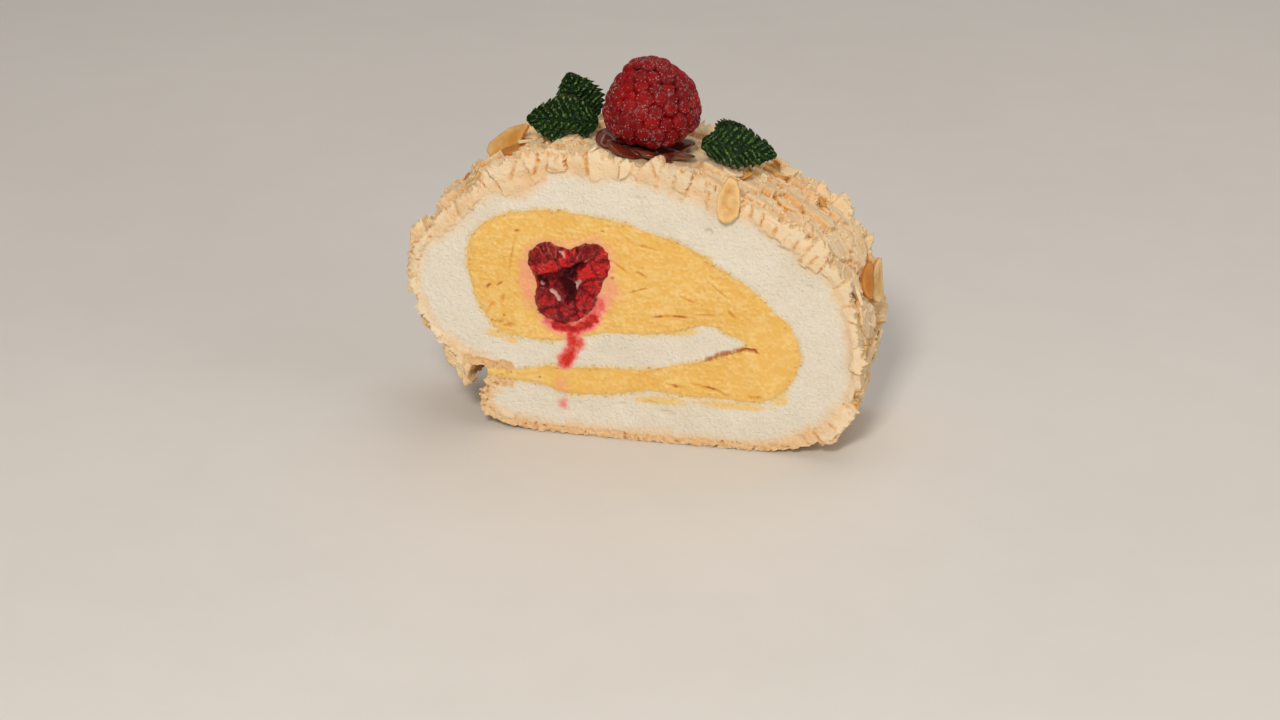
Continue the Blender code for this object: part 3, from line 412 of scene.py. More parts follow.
# Painted shade in the cut berry's hollow and creases, and deep between the whole berry's drupelets.
BERRY_SHADE = (0.050, 0.002, 0.005)
BERRY_RED = (0.20, 0.001, 0.003)
BERRY_BRIGHT = (0.66, 0.008, 0.010)
BERRY_FIBRE = (0.82, 0.14, 0.11)
BERRY_BLOOM = (0.66, 0.10, 0.12)
BERRY_RIM = (0.78, 0.20, 0.18)
BERRY_PITH = (0.86, 0.50, 0.44)
SKIN_RED = (0.19, 0.001, 0.003)
SKIN_BRIGHT = (0.31, 0.002, 0.005)
FROST = (0.76, 0.42, 0.41)
FROST_DEEP = (0.50, 0.16, 0.16)
FROST_PALE = (0.78, 0.45, 0.42)
FROST_MILKY = (0.62, 0.28, 0.26)
# The dark leaf tone also serves as painted shade in the hollows between the pillows.
LEAF_DARK_AND_SHADE = (0.004, 0.018, 0.003)
LEAF_GREEN = (0.030, 0.095, 0.012)
# A painted highlight on the crests of the leaf's pillows.
LEAF_CREST_HIGHLIGHT = (0.24, 0.40, 0.11)
# Painted shade in the sunken veins.
LEAF_VEIN_SHADE = (0.010, 0.035, 0.008)
LEAF_DRY = (0.07, 0.030, 0.015)
CHOCOLATE = (0.125, 0.016, 0.008)
CHOCOLATE_WARM = (0.19, 0.036, 0.014)
ALMOND_PALE = (0.86, 0.62, 0.30)
ALMOND_GOLD = (0.68, 0.34, 0.07)
ALMOND_HEART = (0.60, 0.27, 0.035)
ALMOND_BROWN = (0.44, 0.13, 0.015)
FLOOR_LIGHT = (0.77, 0.755, 0.73)
FLOOR_SHADE = (0.73, 0.715, 0.69)

CAMERA_PLACE = (133.8 * MM, -587.2 * MM, 256.2 * MM)
CAMERA_AIM = (-1.75 * MM, 0.0, 12.72 * MM)
CAMERA_LENS = 83.1
SENSOR_WIDTH = 36
# Each light's place, size in metres, power in watts and colour. They all look at the middle.
LIGHTS = {
    "key": ((0.03, -0.78, 0.60), 0.16, 5.2, (1.0, 0.91, 0.81)),
    "fill": ((0.80, -0.30, 0.42), 0.6, 1.5, (1.0, 0.93, 0.86)),
    "top": ((0.10, 0.30, 0.85), 0.6, 1.7, (1.0, 0.93, 0.86)),
}
LIGHTS_AIM = (0, 0, 35 * MM)
WORLD_COLOUR = (1.0, 0.95, 0.90)
WORLD_STRENGTH = 0.27
FLOOR_REACH = 6.0


# Shapes in the plane and random fields.

def smooth_path(points, step):
    """Evenly spaced points along a smooth curve through the given ones."""
    given = np.array(points, float) * MM
    ends = 2 * given[0] - given[1], 2 * given[-1] - given[-2]
    given = np.vstack([ends[0], given, ends[1]])
    fine = []
    for a, b, c, d in zip(given, given[1:], given[2:], given[3:]):
        for t in np.arange(CURVE_STEPS) / CURVE_STEPS:
            pull = (c - a) * t + (2 * a - 5 * b + 4 * c - d) * t**2 + (3 * b - a - 3 * c + d) * t**3
            fine.append(b + pull / 2)
    fine.append(given[-2])
    return evenly_spaced(np.array(fine), step)


def evenly_spaced(points, step):
    """The same path with its points about one step apart."""
    along = arc_lengths(points)
    wanted = np.linspace(0, along[-1], max(2, round(along[-1] / step)) + 1)
    return np.column_stack([np.interp(wanted, along, points[:, axis]) for axis in (0, 1)])


def arc_lengths(points):
    steps = np.linalg.norm(np.diff(points, axis=0), axis=1)
    return np.concatenate([[0], np.cumsum(steps)])


def left_normals(points):
    """Unit normals to the left of the path as it runs."""
    along = np.gradient(points, axis=0)
    normals = np.column_stack([-along[:, 1], along[:, 0]])
    return normals / np.linalg.norm(normals, axis=1, keepdims=True)


def ramp(value, low, high):
    """Rises smoothly from 0 at low to 1 at high."""
    t = np.clip((value - low) / (high - low), 0, 1)
    return t * t * (3 - 2 * t)


def falls(value, low, high):
    """Falls smoothly from 1 at low to 0 at high."""
    return 1 - ramp(value, low, high)


def ripples(a, b, size, layer, octaves=1):
    """Smooth random values over a surface, about -1 to 1, one swing to each size."""
    places = [Vector((u, v, layer)) for u, v in zip(a / size, b / size)]
    if octaves == 1:
        return np.array([noise.noise(place) for place in places])
    return np.array([noise.fractal(place, 0.8, 2.1, octaves) for place in places])


def layered(x, z, layer):
    """Ripples over one cut face, its layers apart from those of the other. Sizes in millimetres."""
    return lambda size, number, octaves=1: ripples(x, z, size * MM, number + layer, octaves)


def cells(a, b, size, layer):
    """Gap to the next cell in shares of the size, distance to the cell's centre and its own numbers."""
    gaps, reaches, owns = [], [], []
    for u, v in zip(a / size, b / size):
        distances, centres = noise.voronoi(Vector((u, v, layer)))
        gaps.append(distances[1] - distances[0])
        reaches.append(distances[0])
        owns.append(noise.cell_vector(centres[0] * 1.01))
    return np.array(gaps), np.array(reaches), np.array(owns)


def nearest(points, queries):
    """Distance from each query to the nearest of the points, and that point's number."""
    tree = KDTree(len(points))
    for number, (x, z) in enumerate(points):
        tree.insert((x, z, 0), number)
    tree.balance()
    found = [tree.find((x, z, 0)) for x, z in queries]
    return np.array([f[2] for f in found]), np.array([f[1] for f in found])


def ellipse_marks(x, z, marks):
    """0 outside and 1 inside each soft-edged ellipse, and the largest of them at each place."""
    most = np.zeros(len(x))
    for cx, cz, half_long, half_wide, turn in marks:
        turn = math.radians(turn)
        along = (x / MM - cx) * math.cos(turn) + (z / MM - cz) * math.sin(turn)
        across = (z / MM - cz) * math.cos(turn) - (x / MM - cx) * math.sin(turn)
        reach = np.hypot(along / half_long, across / half_wide)
        most = np.maximum(most, falls(reach, 0.45, 1.25))
    return most


def shifted(tracks, shift, scale, middle):
    """Tracks moved and scaled about a middle, in millimetres."""
    return [
        ((np.array(points) - middle) * scale + middle + shift, radius * scale, *rest)
        for points, radius, *rest in tracks
    ]


def from_cut(y):
    """The distance to the nearer cut face."""
    return np.minimum(y - FRONT, BACK - y)


# Meshes.

def wall(near, far):
    """Faces between two closed rings of point numbers."""
    return [[a, b, d, c] for a, b, c, d in zip(near, np.roll(near, -1), far, np.roll(far, -1))]


def cap(ring, hub):
    """Triangles from a closed ring of point numbers to one point."""
    return [[a, b, hub] for a, b in zip(ring, np.roll(ring, -1))]


def tube(rings, sides, start=0):
    """Faces between each closed ring of points and the next one."""
    rows = np.arange(rings * sides).reshape(rings, sides) + start
    return [face for near, far in zip(rows, rows[1:]) for face in wall(near, far)]


def grid_quads(grid):
    """A face for each square of a grid of point numbers."""
    return np.stack([grid[:-1, :-1], grid[:-1, 1:], grid[1:, 1:], grid[1:, :-1]], axis=-1).reshape(-1, 4)


def placed_object(name, data):
    """A new object in the scene."""
    made = bpy.data.objects.new(name, data)
    bpy.context.scene.collection.objects.link(made)
    return made


def mesh_object(name, points, faces, finish, **attributes):
    """A new object with smooth faces and float attributes on its points."""
    mesh = bpy.data.meshes.new(name)
    mesh.from_pydata([tuple(p) for p in points], [], [tuple(f) for f in faces])
    mesh.validate()
    for key, values in attributes.items():
        layer = mesh.attributes.new(key, "FLOAT", "POINT")
        layer.data.foreach_set("value", np.asarray(values, np.float32))
    mesh.shade_smooth()
    mesh.materials.append(finish)
    return placed_object(name, mesh)


def turned_outwards(obj):
    """The same closed object with its faces pointing out."""
    bm = bmesh.new()
    bm.from_mesh(obj.data)
    bmesh.ops.recalc_face_normals(bm, faces=bm.faces)
    bm.to_mesh(obj.data)
    bm.free()
    return obj


def encloses(a, b, spot):
    """Whether the outline's edges, from a to b, enclose a place."""
    crossing = (a[:, 1] > spot[1]) != (b[:, 1] > spot[1])
    ca, cb = a[crossing], b[crossing]
    places = ca[:, 0] + (spot[1] - ca[:, 1]) / (cb[:, 1] - ca[:, 1]) * (cb[:, 0] - ca[:, 0])
    return (places > spot[0]).sum() % 2 == 1


def filled_face(rings, pitch, seed):
    """Fills outlines on a cut face with even triangles. The outlines' own points come first."""
    draw = random.Random(seed)
    outline = np.vstack(rings)
    starts, ends = [], []
    count = 0
    for ring in rings:
        numbers = np.arange(len(ring)) + count
        starts.extend(numbers)
        ends.extend(np.roll(numbers, -1))
        count += len(ring)
    a, b = outline[starts], outline[ends]
    inner = []
    low, high = outline.min(axis=0), outline.max(axis=0)
    for row, z in enumerate(np.arange(low[1] + pitch / 3, high[1], pitch * math.sqrt(0.75))):
        crossing = (a[:, 1] > z) != (b[:, 1] > z)
        ca, cb = a[crossing], b[crossing]
        places = np.sort(ca[:, 0] + (z - ca[:, 1]) / (cb[:, 1] - ca[:, 1]) * (cb[:, 0] - ca[:, 0]))
        for left, right in zip(places[::2], places[1::2]):
            for x in np.arange(left + pitch * (0.5 + 0.5 * (row % 2)), right, pitch):
                jitter = pitch * 0.22
                inner.append((x + draw.uniform(-jitter, jitter), z + draw.uniform(-jitter, jitter)))
    inner = np.array(inner)
    away, _ = nearest(outline, inner)
    inner, away = inner[away > 0.6 * pitch], away[away > 0.6 * pitch]
    strays = [i for i in np.flatnonzero(away < 4 * pitch) if not encloses(a, b, inner[i])]
    inner = np.delete(inner, strays, axis=0)
    points = np.vstack([outline, inner])
    # Scaled to centimetres, where the triangulation's rounding doesn't matter.
    given = [Vector((x * 100, z * 100)) for x, z in points]
    edges = [(int(s), int(e)) for s, e in zip(starts, ends)]
    made = delaunay_2d_cdt(given, edges, [], 0, 1e-7, False)
    if len(made[0]) != len(points):
        raise ValueError(f"an outline crosses itself: {len(points)} points became {len(made[0])}")
    triangles = np.array(made[2])
    on_outline = (triangles < count).all(axis=1)
    middles = points[triangles].mean(axis=1)
    keep = ~on_outline
    for number in np.flatnonzero(on_outline):
        keep[number] = encloses(a, b, middles[number])
    return points, triangles[keep]


# The broken crust.

def sharpened(obj, degrees):
    """The same object with creases kept crisp."""
    obj.data.set_sharp_from_angle(angle=math.radians(degrees))
    return obj


def broken_crust(along, y):
    """Height of the crust above its sheet, crack, tone and light rim at places on it. The crack colours the
    cracks and a halo beside them, partly as painted shade.
    """
    heights, gaps, tones, steps = [], [], [], []
    fine = ripples(along, y, 0.6 * MM, 2.2, 3)
    soft = ripples(along, y, 3.2 * MM, 7.7, 2)
    bend_s = along + ripples(along, y, 1.0 * MM, 41.0, 3) * 0.24 * MM
    bend_y = y + ripples(along, y, 1.0 * MM, 47.0, 3) * 0.24 * MM
    for s, depth in zip(bend_s, bend_y):
        place = Vector((s / PLATE_SIZE[0], depth / PLATE_SIZE[1], 0))
        place += noise.noise_vector(place * PLATE_WARP_RATE) * PLATE_WARP
        distances, centres = noise.voronoi(place)
        own = noise.cell_vector(centres[0])
        away = place - centres[0]
        tip = (own.y - 0.5) * away.x * PLATE_SIZE[0] + (own.z - 0.5) * away.y * PLATE_SIZE[1]
        height = own.x * PLATE_LIFT + tip * 2 * PLATE_TIP
        gap = distances[1] - distances[0]
        tone = own.y
        step = gap
        if own.z > SMOOTH_PLATES:
            spot = Vector((s / SHINGLE_SIZE, depth / SHINGLE_SIZE, 3 + own.z * 40))
            spot += noise.noise_vector(spot * 2.1) * 0.16
            reaches, seeds = noise.voronoi(spot)
            mine = noise.cell_vector(seeds[0] * 1.013)
            off = spot - seeds[0]
            lean = (mine.y - 0.5) * off.x + (mine.z - 0.5) * off.y
            height += (mine.x - 0.5) * SHINGLE_LIFT + lean * 2 * SHINGLE_TIP * SHINGLE_SIZE
            tone = 0.5 * tone + 0.5 * mine.z
            step = min(gap, 0.01 + (reaches[1] - reaches[0]) * 0.9)
        heights.append(height)
        gaps.append(gap)
        tones.append(tone)
        steps.append(step)
    gaps, steps = np.array(gaps), np.array(steps)
    strength = np.clip(0.62 + ripples(along, y, 3.5 * MM, 19.0) * 1.1, 0.15, 1)
    wide, narrow = falls(gaps, 0.008, CRACK_SHARE), falls(steps, 0.012, CRACK_SHARE * 1.1)
    crack = np.maximum(wide, 0.8 * narrow) * strength
    # A golden halo beside each crack: painted shade.
    golden_crack_shade = falls(steps, 0.02, 0.20) * (0.2 + 0.8 * strength) * 0.30
    heights = np.array(heights) - crack * CRACK_DEPTH + fine * 0.08 * MM + soft * 0.10 * MM
    tones = np.clip(np.array(tones) + soft * 0.25, 0, 1)
    rims = ramp(steps, 0.05, 0.08) * falls(steps, 0.10, 0.18)
    return heights, np.maximum(crack, golden_crack_shade), tones, rims


def crust_fade(along, length, x, y, z):
    """The relief fades out on the base, at the slit and under the toppings."""
    fade = ramp(z, BASE_FADE_START, BASE_FADE)
    fade = fade * ramp(np.minimum(along, length - along), 0, SLIT_FADE)
    reach = np.hypot(x - ROSETTE_CENTRE[0], y - ROSETTE_CENTRE[1])
    smooth = ramp(reach, FOOTPRINT_RADIUS - FOOTPRINT_FADE, FOOTPRINT_RADIUS)
    return fade * np.where(z > TOP_LEVEL, smooth, 1)


def band_widths(outside):
    """How wide the crust shows on the cut face at each point of the sheet's outline."""
    along = arc_lengths(outside)
    stations = np.array([(x, z) for x, z, _ in CRUST_BAND]) * MM
    _, numbers = nearest(outside, stations)
    order = np.argsort(along[numbers])
    widths = np.array([width for *_, width in CRUST_BAND]) * MM
    return np.interp(along, along[numbers][order], widths[order])


def near_tracks(x, z, tracks, wander):
    """How near each place is to each track of X, Z points in millimetres, in shares of its radius."""
    spots = np.column_stack([x / MM, z / MM])
    for points, radius, *rest in tracks:
        line = evenly_spaced(np.array(points, float), 0.3)
        away = np.full(len(x), np.inf)
        for point in line:
            away = np.minimum(away, np.hypot(*(spots - point).T))
        yield away / radius + wander, rest


def track_marks(x, z, tracks, wander, low, high):
    """1 on the tracks and 0 away from them, with a soft edge."""
    return np.max([falls(reach, low, high) for reach, _ in near_tracks(x, z, tracks, wander)], axis=0)


def juice_at(x, z, berry, marks):
    """How soaked with juice each place is, with a feathered edge, and a halo round the cut berry."""
    edge = ripples(x, z, 1.1 * MM, 12.0, 4) * 0.42 + ripples(x, z, 4 * MM, 17.0) * 0.35
    away, _ = nearest(berry, np.column_stack([x, z]))
    reach, strength = JUICE_HALO
    soaked = strength * falls(away / MM / reach + edge * 1.8, 0.0, 1.5)
    for reach, (strength,) in near_tracks(x, z, marks, edge):
        soaked = np.maximum(soaked, strength * falls(reach, 0.2, 1.55))
    return soaked


def inside_outline(px, py, outline):
    """Which places lie inside a closed outline."""
    inside = np.zeros(len(px), bool)
    for (ax, ay), (bx, by) in zip(outline, np.roll(outline, -1, axis=0)):
        if ay == by:
            continue
        crossed = ((ay > py) != (by > py)) & (px < ax + (py - ay) / (by - ay) * (bx - ax))
        inside ^= crossed
    return inside


def laid_flakes(along, y, height, crack, tone, plans):
    """Flakes laid into the crust as overlapping plates. Changes the height, crack and tone in place."""
    for number, (s0, y0, lift, slope_s, slope_y, outline) in enumerate(plans):
        own = noise.cell_vector(Vector((number * 1.7 + 0.3, 4.5, 2.5)))
        reach = np.abs(outline).max() + 1.2 * MM
        near = np.flatnonzero((np.abs(along - s0) < reach) & (np.abs(y - y0) < reach))
        ds, dy = along[near] - s0, y[near] - y0
        plane = lift + slope_s * ds + slope_y * dy
        ds = ds + ripples(along[near], y[near], 0.8 * MM, 55.0, 3) * 0.20 * MM
        dy = dy + ripples(along[near], y[near], 0.8 * MM, 58.0, 3) * 0.20 * MM
        plane = plane + ripples(along[near], y[near], 2.2 * MM, 51.0, 3) * 0.08 * MM
        plane = plane + ripples(along[near], y[near], 0.6 * MM, 2.2, 3) * 0.07 * MM
        on = inside_outline(ds, dy, outline)
        border = inside_outline(ds / 1.12, dy / 1.12, outline) & ~on
        core = inside_outline(ds / 0.90, dy / 0.90, outline)
        above = plane > height[near]
        change = near[on & above]
        height[change] = plane[on & above]
        tone[change] = own.x
        crack[change] = np.where(core[on & above], 0.0, 0.08)
        # Just outside each flake the crust is sunk and painted golden: a painted shadow under the flake's
        # edge.
        low = near[border & above]
        crack[low] = np.maximum(crack[low], 0.5 * own.y + 0.35)
        height[low] -= 0.2 * MM


def slab_breaks(length):
    """Where the crust breaks along a cut edge, and six numbers for each slab."""
    draw = random.Random(SEED + 17)
    breaks = [-2 * MM]
    while breaks[-1] < length + 2 * MM:
        breaks.append(breaks[-1] + draw.uniform(*SLAB_LENGTH) * draw.choice((0.6, 1.0, 1.0, 1.4)))
    return np.array(breaks), np.array([[draw.random() for _ in range(6)] for _ in breaks])


def slab_numbers(breaks, along):
    """Which slab each place belongs to."""
    return np.clip(np.searchsorted(breaks, along) - 1, 0, len(breaks) - 2)


def rim_rise(along, y, x, z, length):
    """Height of the slabs that stand along both cut edges, over the crust behind them."""
    breaks, own = slab_breaks(length)
    reach = np.min([np.hypot(x - bx, z - bz) for bx, bz in np.array(RIM_BLOCKS) * MM], axis=0)
    covered = falls(reach, 1.5 * MM, 5.0 * MM) * (1 - seat_of_almond(x, z))
    bent = along + ripples(along, y * 0, 1.2 * MM, 27.0, 2) * 0.25 * MM
    number = slab_numbers(breaks, bent)
    mine = own[number]
    off = np.minimum(bent - breaks[number], breaks[number + 1] - bent)
    across = (bent - breaks[number]) / (breaks[number + 1] - breaks[number])
    slope = 0.75 + 2 * (across - 0.5) * (mine[:, 1] - 0.5)
    rise = SLAB_RISE[0] + (SLAB_RISE[1] - SLAB_RISE[0]) * mine[:, 5] * slope
    rise = rise + ripples(along, y, 0.9 * MM, 35.0, 3) * 0.30 * MM
    rise = rise - falls(off, 0.1 * MM, 0.5 * MM) * 0.5 * MM * mine[:, 3]
    thick = SLAB_THICKNESS[0] + (SLAB_THICKNESS[1] - SLAB_THICKNESS[0]) * mine[:, 4]
    thick = thick + ripples(along, y * 0, 1.5 * MM, 39.0, 2) * 0.3 * MM
    return rise * covered * falls(from_cut(y), thick, thick + 0.55 * MM)


def seat_of_almond(x, z):
    """1 where the almond slice at the front lies, so that no slab stands over it."""
    cx, cz, radius = ALMOND_SEAT
    return falls(np.hypot(x / MM - cx, z / MM - cz), radius * 0.6, radius * 1.1)


def slabs(along, depth, length):
    """The slabs along a cut edge: lift, crack, tone and share of the band's width."""
    breaks, own = slab_breaks(length)
    slant = ripples(along, depth * 0, 7 * MM, 23.0)
    bent = along + slant * depth + ripples(along, depth, 1.5 * MM, 27.0, 3) * 0.40 * MM
    number = slab_numbers(breaks, bent)
    off = np.minimum(bent - breaks[number], breaks[number + 1] - bent)
    across = bent - (breaks[number] + breaks[number + 1]) / 2
    mine = own[number]
    lift = mine[:, 0] * SLAB_LIFT + (mine[:, 1] - 0.5) * 2 * SLAB_TIP * across
    lift += (mine[:, 2] - 0.6) * 2 * SLAB_TIP * depth
    strength = np.clip(mine[:, 3] * 1.3 - 0.15 + ripples(along, depth, 2.4 * MM, 24.0) * 0.9, 0, 1)
    crack = falls(off, SLAB_CRACK * 0.2, SLAB_CRACK) * strength
    # A golden halo beside each break: painted shade.
    golden_crack_shade = falls(off, 0, 1.0 * MM) * strength * 0.32
    return lift, np.maximum(crack * 0.66, golden_crack_shade), crack, mine[:, 4], 0.60 + 0.75 * mine[:, 5]


def from_tip_crack(spots):
    """The distance to the crumbly crack at the tip of the inner tongue."""
    return nearest(evenly_spaced(np.array(TIP_CRACK) * MM, 0.2 * MM), spots)[0]


def seam_height(x, z):
    """The height that meringue and cream share where they meet."""
    return ripples(x, z, 1.4 * MM, 83.0, 3) * 0.14 * MM


def crumb_face(x, z, face, base, inside, rim, marks):
    """The cut meringue: how far each place stands out, and its attributes."""
    layer = 0.0 if face < 0 else 40.0
    spots = np.column_stack([x, z])
    field = layered(x, z, layer)
    lengths, widths = rim
    below, number = nearest(base, spots)
    normals = -left_normals(base)[number]
    above = ((spots - base[number]) * normals).sum(axis=1)
    depth = np.where(above > 0, -below, below)
    cream, _ = nearest(inside, spots)
    along = lengths[number]
    lift, crack, deep_crack, tone, share = slabs(along, depth, lengths[-1])
    at_base = falls(z, 1.5 * MM, 4 * MM)
    share = share * (1 - at_base) + at_base
    wander = field(1.5, 6.0, 3)
    ragged = field(0.8, 68.0, 3) * 0.22 * MM
    width = widths[number] * share * (1 + 0.20 * wander) + ragged
    soft = 0.30 + 1.0 * ramp(ripples(along, along * 0, 3.5 * MM, 72.0 + layer), -0.25, 0.3) * (1 - at_base)
    band = falls(depth, width - soft * MM, width + 0.25 * MM)
    tint = falls(depth + wander * 0.8 * MM, width - 0.6 * MM, width + 2.3 * MM)
    mouth = track_marks(x, z, SLIT_MOUTH, wander * 0.25, 0.6, 1.2)
    heel = falls(x, -31.5 * MM, -27 * MM) * falls(z, 11 * MM, 14 * MM)
    chips = field(0.9, 9.0, 3)
    crumbly = np.maximum(np.maximum(at_base, mouth), heel)
    holes = ramp(field(1.1, 53.0, 3), 0.40, 0.8) * crumbly
    seated = seat_of_almond(x, z)
    relief = (lift * (1 - seated) + 0.12 * MM - deep_crack * 0.50 * MM) * (1 - crumbly)
    relief = relief + crumbly * (chips * 0.45 - holes * 0.8) * MM
    streak = ripples(along + depth * 0.3, depth * 0.3, 0.55 * MM, 76.0 + layer, 3)
    scratch = field(0.6, 2.6, 3) * 0.07 + field(2.2, 3.9, 3) * 0.20
    band_relief = np.maximum(band, mouth)
    stands = band_relief * (relief + (scratch + streak * 0.05) * MM)
    # Fine open crumb with a few larger bubbles.
    _, reach, own = cells(x, z, 1.15 * MM, 21.0 + layer)
    _, fine_reach, fine_own = cells(x, z, 0.6 * MM, 33.0 + layer)
    hollow = falls(reach, 0.08, 0.36) * (own[:, 0] > 0.70)
    fine_hollow = falls(fine_reach, 0.1, 0.5) * (fine_own[:, 1] > 0.45)
    crumb = field(0.7, 14.0, 3) * 0.12 + field(3.0, 15.0, 2) * 0.11
    crumb = crumb + field(9, 18.0) * 0.25 - hollow * 0.14 - fine_hollow * 0.09
    deep = np.zeros(len(x))
    for bx, bz, wide, high, depth_of in marks["bubbles"]:
        reach = np.hypot((x / MM - bx) / wide, (z / MM - bz) / high) + wander * 0.2
        deep = np.maximum(deep, depth_of * falls(reach, 0.35, 1.1))
    stands = stands + (1 - band_relief) * (crumb - deep) * MM
    under = falls(np.abs(depth - width), 0.05 * MM, 0.4 * MM)
    gold = under * ramp(ripples(along, along * 0, 4.0 * MM, 4.0 + layer), 0.05, 0.35)
    blotch = field(1.0, 25.0, 3) * 0.35
    smear = np.zeros(len(x))
    for sx, sz, wide, high in marks["smears"]:
        reach = np.hypot((x / MM - sx) / wide, (z / MM - sz) / high) + blotch
        smear = np.maximum(smear, falls(reach, 0.5, 1.2))
    patchy = ramp(field(5, 29.0), -0.35, 0.35)
    soaked = falls(cream + blotch * MM, 0.05 * MM, 1.1 * MM)
    seep = np.maximum(smear, soaked * (0.3 + 0.6 * patchy))
    dots = falls(cream, 0.2 * MM, 1.1 * MM) * ramp(field(0.55, 44.0, 2), 0.22, 0.58)
    # Brown specks in the crust band, and the holes of the crumbly base and slit mouth coloured toast brown.
    specks = band * ramp(field(0.9, 51.0, 2), 0.62, 0.85) * 0.3 + holes * band_relief * 0.4
    line = np.zeros(len(x))
    if face < 0:
        splits = [(track, SPLIT_RADIUS, strength) for track, strength in CRUST_SPLITS]
        for reach, (strength,) in near_tracks(x, z, splits, wander * 0.5):
            split = falls(reach, 0.35, 1.1) * strength * np.clip(0.75 + chips, 0, 1)
            # A golden halo beside each split: painted shade.
            golden_crack_shade = falls(reach, 0, 2.6) * strength * 0.34
            crack = np.maximum(crack, np.maximum(split * 0.72, golden_crack_shade))
            stands = stands - split * band_relief * 0.6 * MM
        line = falls(from_tip_crack(spots) + blotch * 1.1 * MM, 0.10 * MM, 0.75 * MM)
    stands = stands - line * 0.45 * MM
    seam = falls(cream, 0, 0.8 * MM)
    stands = stands * (1 - seam) + seam_height(x, z) * seam
    crumbled = crumbly * (0.08 + 0.34 * ramp(chips, 0.0, 0.6)) + mouth * 0.12
    frayed = ramp(0.9 * MM - depth, 0, 0.7 * MM) * (1 - crumbly)
    return stands, {
        "crust": np.maximum(np.maximum(band * 0.9, mouth * 0.9), tint * 0.7),
        # Cracks, splits and the line under the slabs turn golden: partly the crust's colour, partly painted
        # shade.
        "crack": np.clip(band * crack * (1 - crumbly) + gold * 0.28 + crumbled * band_relief, 0, 1),
        "tone": tone * 0.7 + crumbly * 0.5 + at_base * 0.2,
        "rim": np.clip(frayed + ramp(streak, 0.15, 0.5) * 0.25 * band, 0, 1),
        "seep": seep * (1 - mouth),
        "juice": juice_at(x, z, marks["berry"], marks["juice"]),
        # Painted shade: the crumb's hollows and opened bubbles are darkened.
        "pore": np.clip(hollow * 0.6 + fine_hollow * 0.35 + deep, 0, 1) * (1 - band_relief),
        "toast": np.clip(dots * (0.25 + 0.6 * patchy) + specks + line * 0.9, 0, 1),
    }


def face_marks(face):
    """The marks on each cut face. The back has its own bubbles and smears."""
    if face < 0:
        return {"bubbles": BUBBLES, "smears": CREAM_SMEARS, "juice": JUICE, "gouges": CREAM_GOUGES,
                "flecks": CREAM_FLECKS, "berry": berry_section(1.0, (0, 0), 0.5 * MM)}
    draw = random.Random(SEED + 3)

    def moved(marks, most):
        return [
            (mark[0] + draw.uniform(-most, most), mark[1] + draw.uniform(-1, 1), *mark[2:])
            for mark in marks
        ]

    middle = np.array(CUT_BERRY_OUTLINE).mean(axis=0)
    return {"bubbles": moved(BUBBLES, 9), "smears": moved(CREAM_SMEARS, 2),
            "juice": shifted(JUICE[:2], BACK_BERRY_SHIFT, BACK_BERRY_SCALE, middle),
            "gouges": moved(CREAM_GOUGES, 4), "flecks": moved(CREAM_FLECKS, 3),
            "berry": berry_section(BACK_BERRY_SCALE, BACK_BERRY_SHIFT, 0.5 * MM)}


def cream_edge():
    """The wandering edge between meringue and cream, from the slit back to the outer end."""
    inside = smooth_path(SHEET_INSIDE, CRUST_STEP)
    normals = left_normals(inside)
    along = arc_lengths(inside)
    wander = ripples(along, along * 0, 1.6 * MM, 66.0, 3)
    wander = wander * ramp(np.minimum(along, along[-1] - along), 0, 4 * MM)
    return (inside + normals * (wander * EDGE_WANDER)[:, None])[1:-1]


def crossings(ring, reach=24):
    """Numbers of the steps that cross a later step not far along the ring."""
    found = set()
    a, b = ring[:-1], ring[1:]
    for gap in range(2, reach):
        p, q, r, t = a[:-gap], b[:-gap], a[gap:], b[gap:]

        def side(u, v, w):
            return (v[:, 0] - u[:, 0]) * (w[:, 1] - u[:, 1]) - (v[:, 1] - u[:, 1]) * (w[:, 0] - u[:, 0])

        hit = (side(p, q, r) * side(p, q, t) < 0) & (side(r, t, p) * side(r, t, q) < 0)
        for i in np.flatnonzero(hit):
            found.update(range(i, i + gap + 1))
    return sorted(found)


def untangled(ring, base):
    """The ring pulled back towards its base line wherever it crosses itself."""
    ring = ring.copy()
    for _ in range(12):
        crossed = crossings(ring)
        if not len(crossed):
            break
        for i in crossed:
            low, high = max(0, i - 3), i + 5
            ring[low:high] = ring[low:high] * 0.6 + base[low:high] * 0.4
            ring[low + 1:high - 1] = (ring[low:high - 2] + ring[low + 2:high]) / 2
    return ring


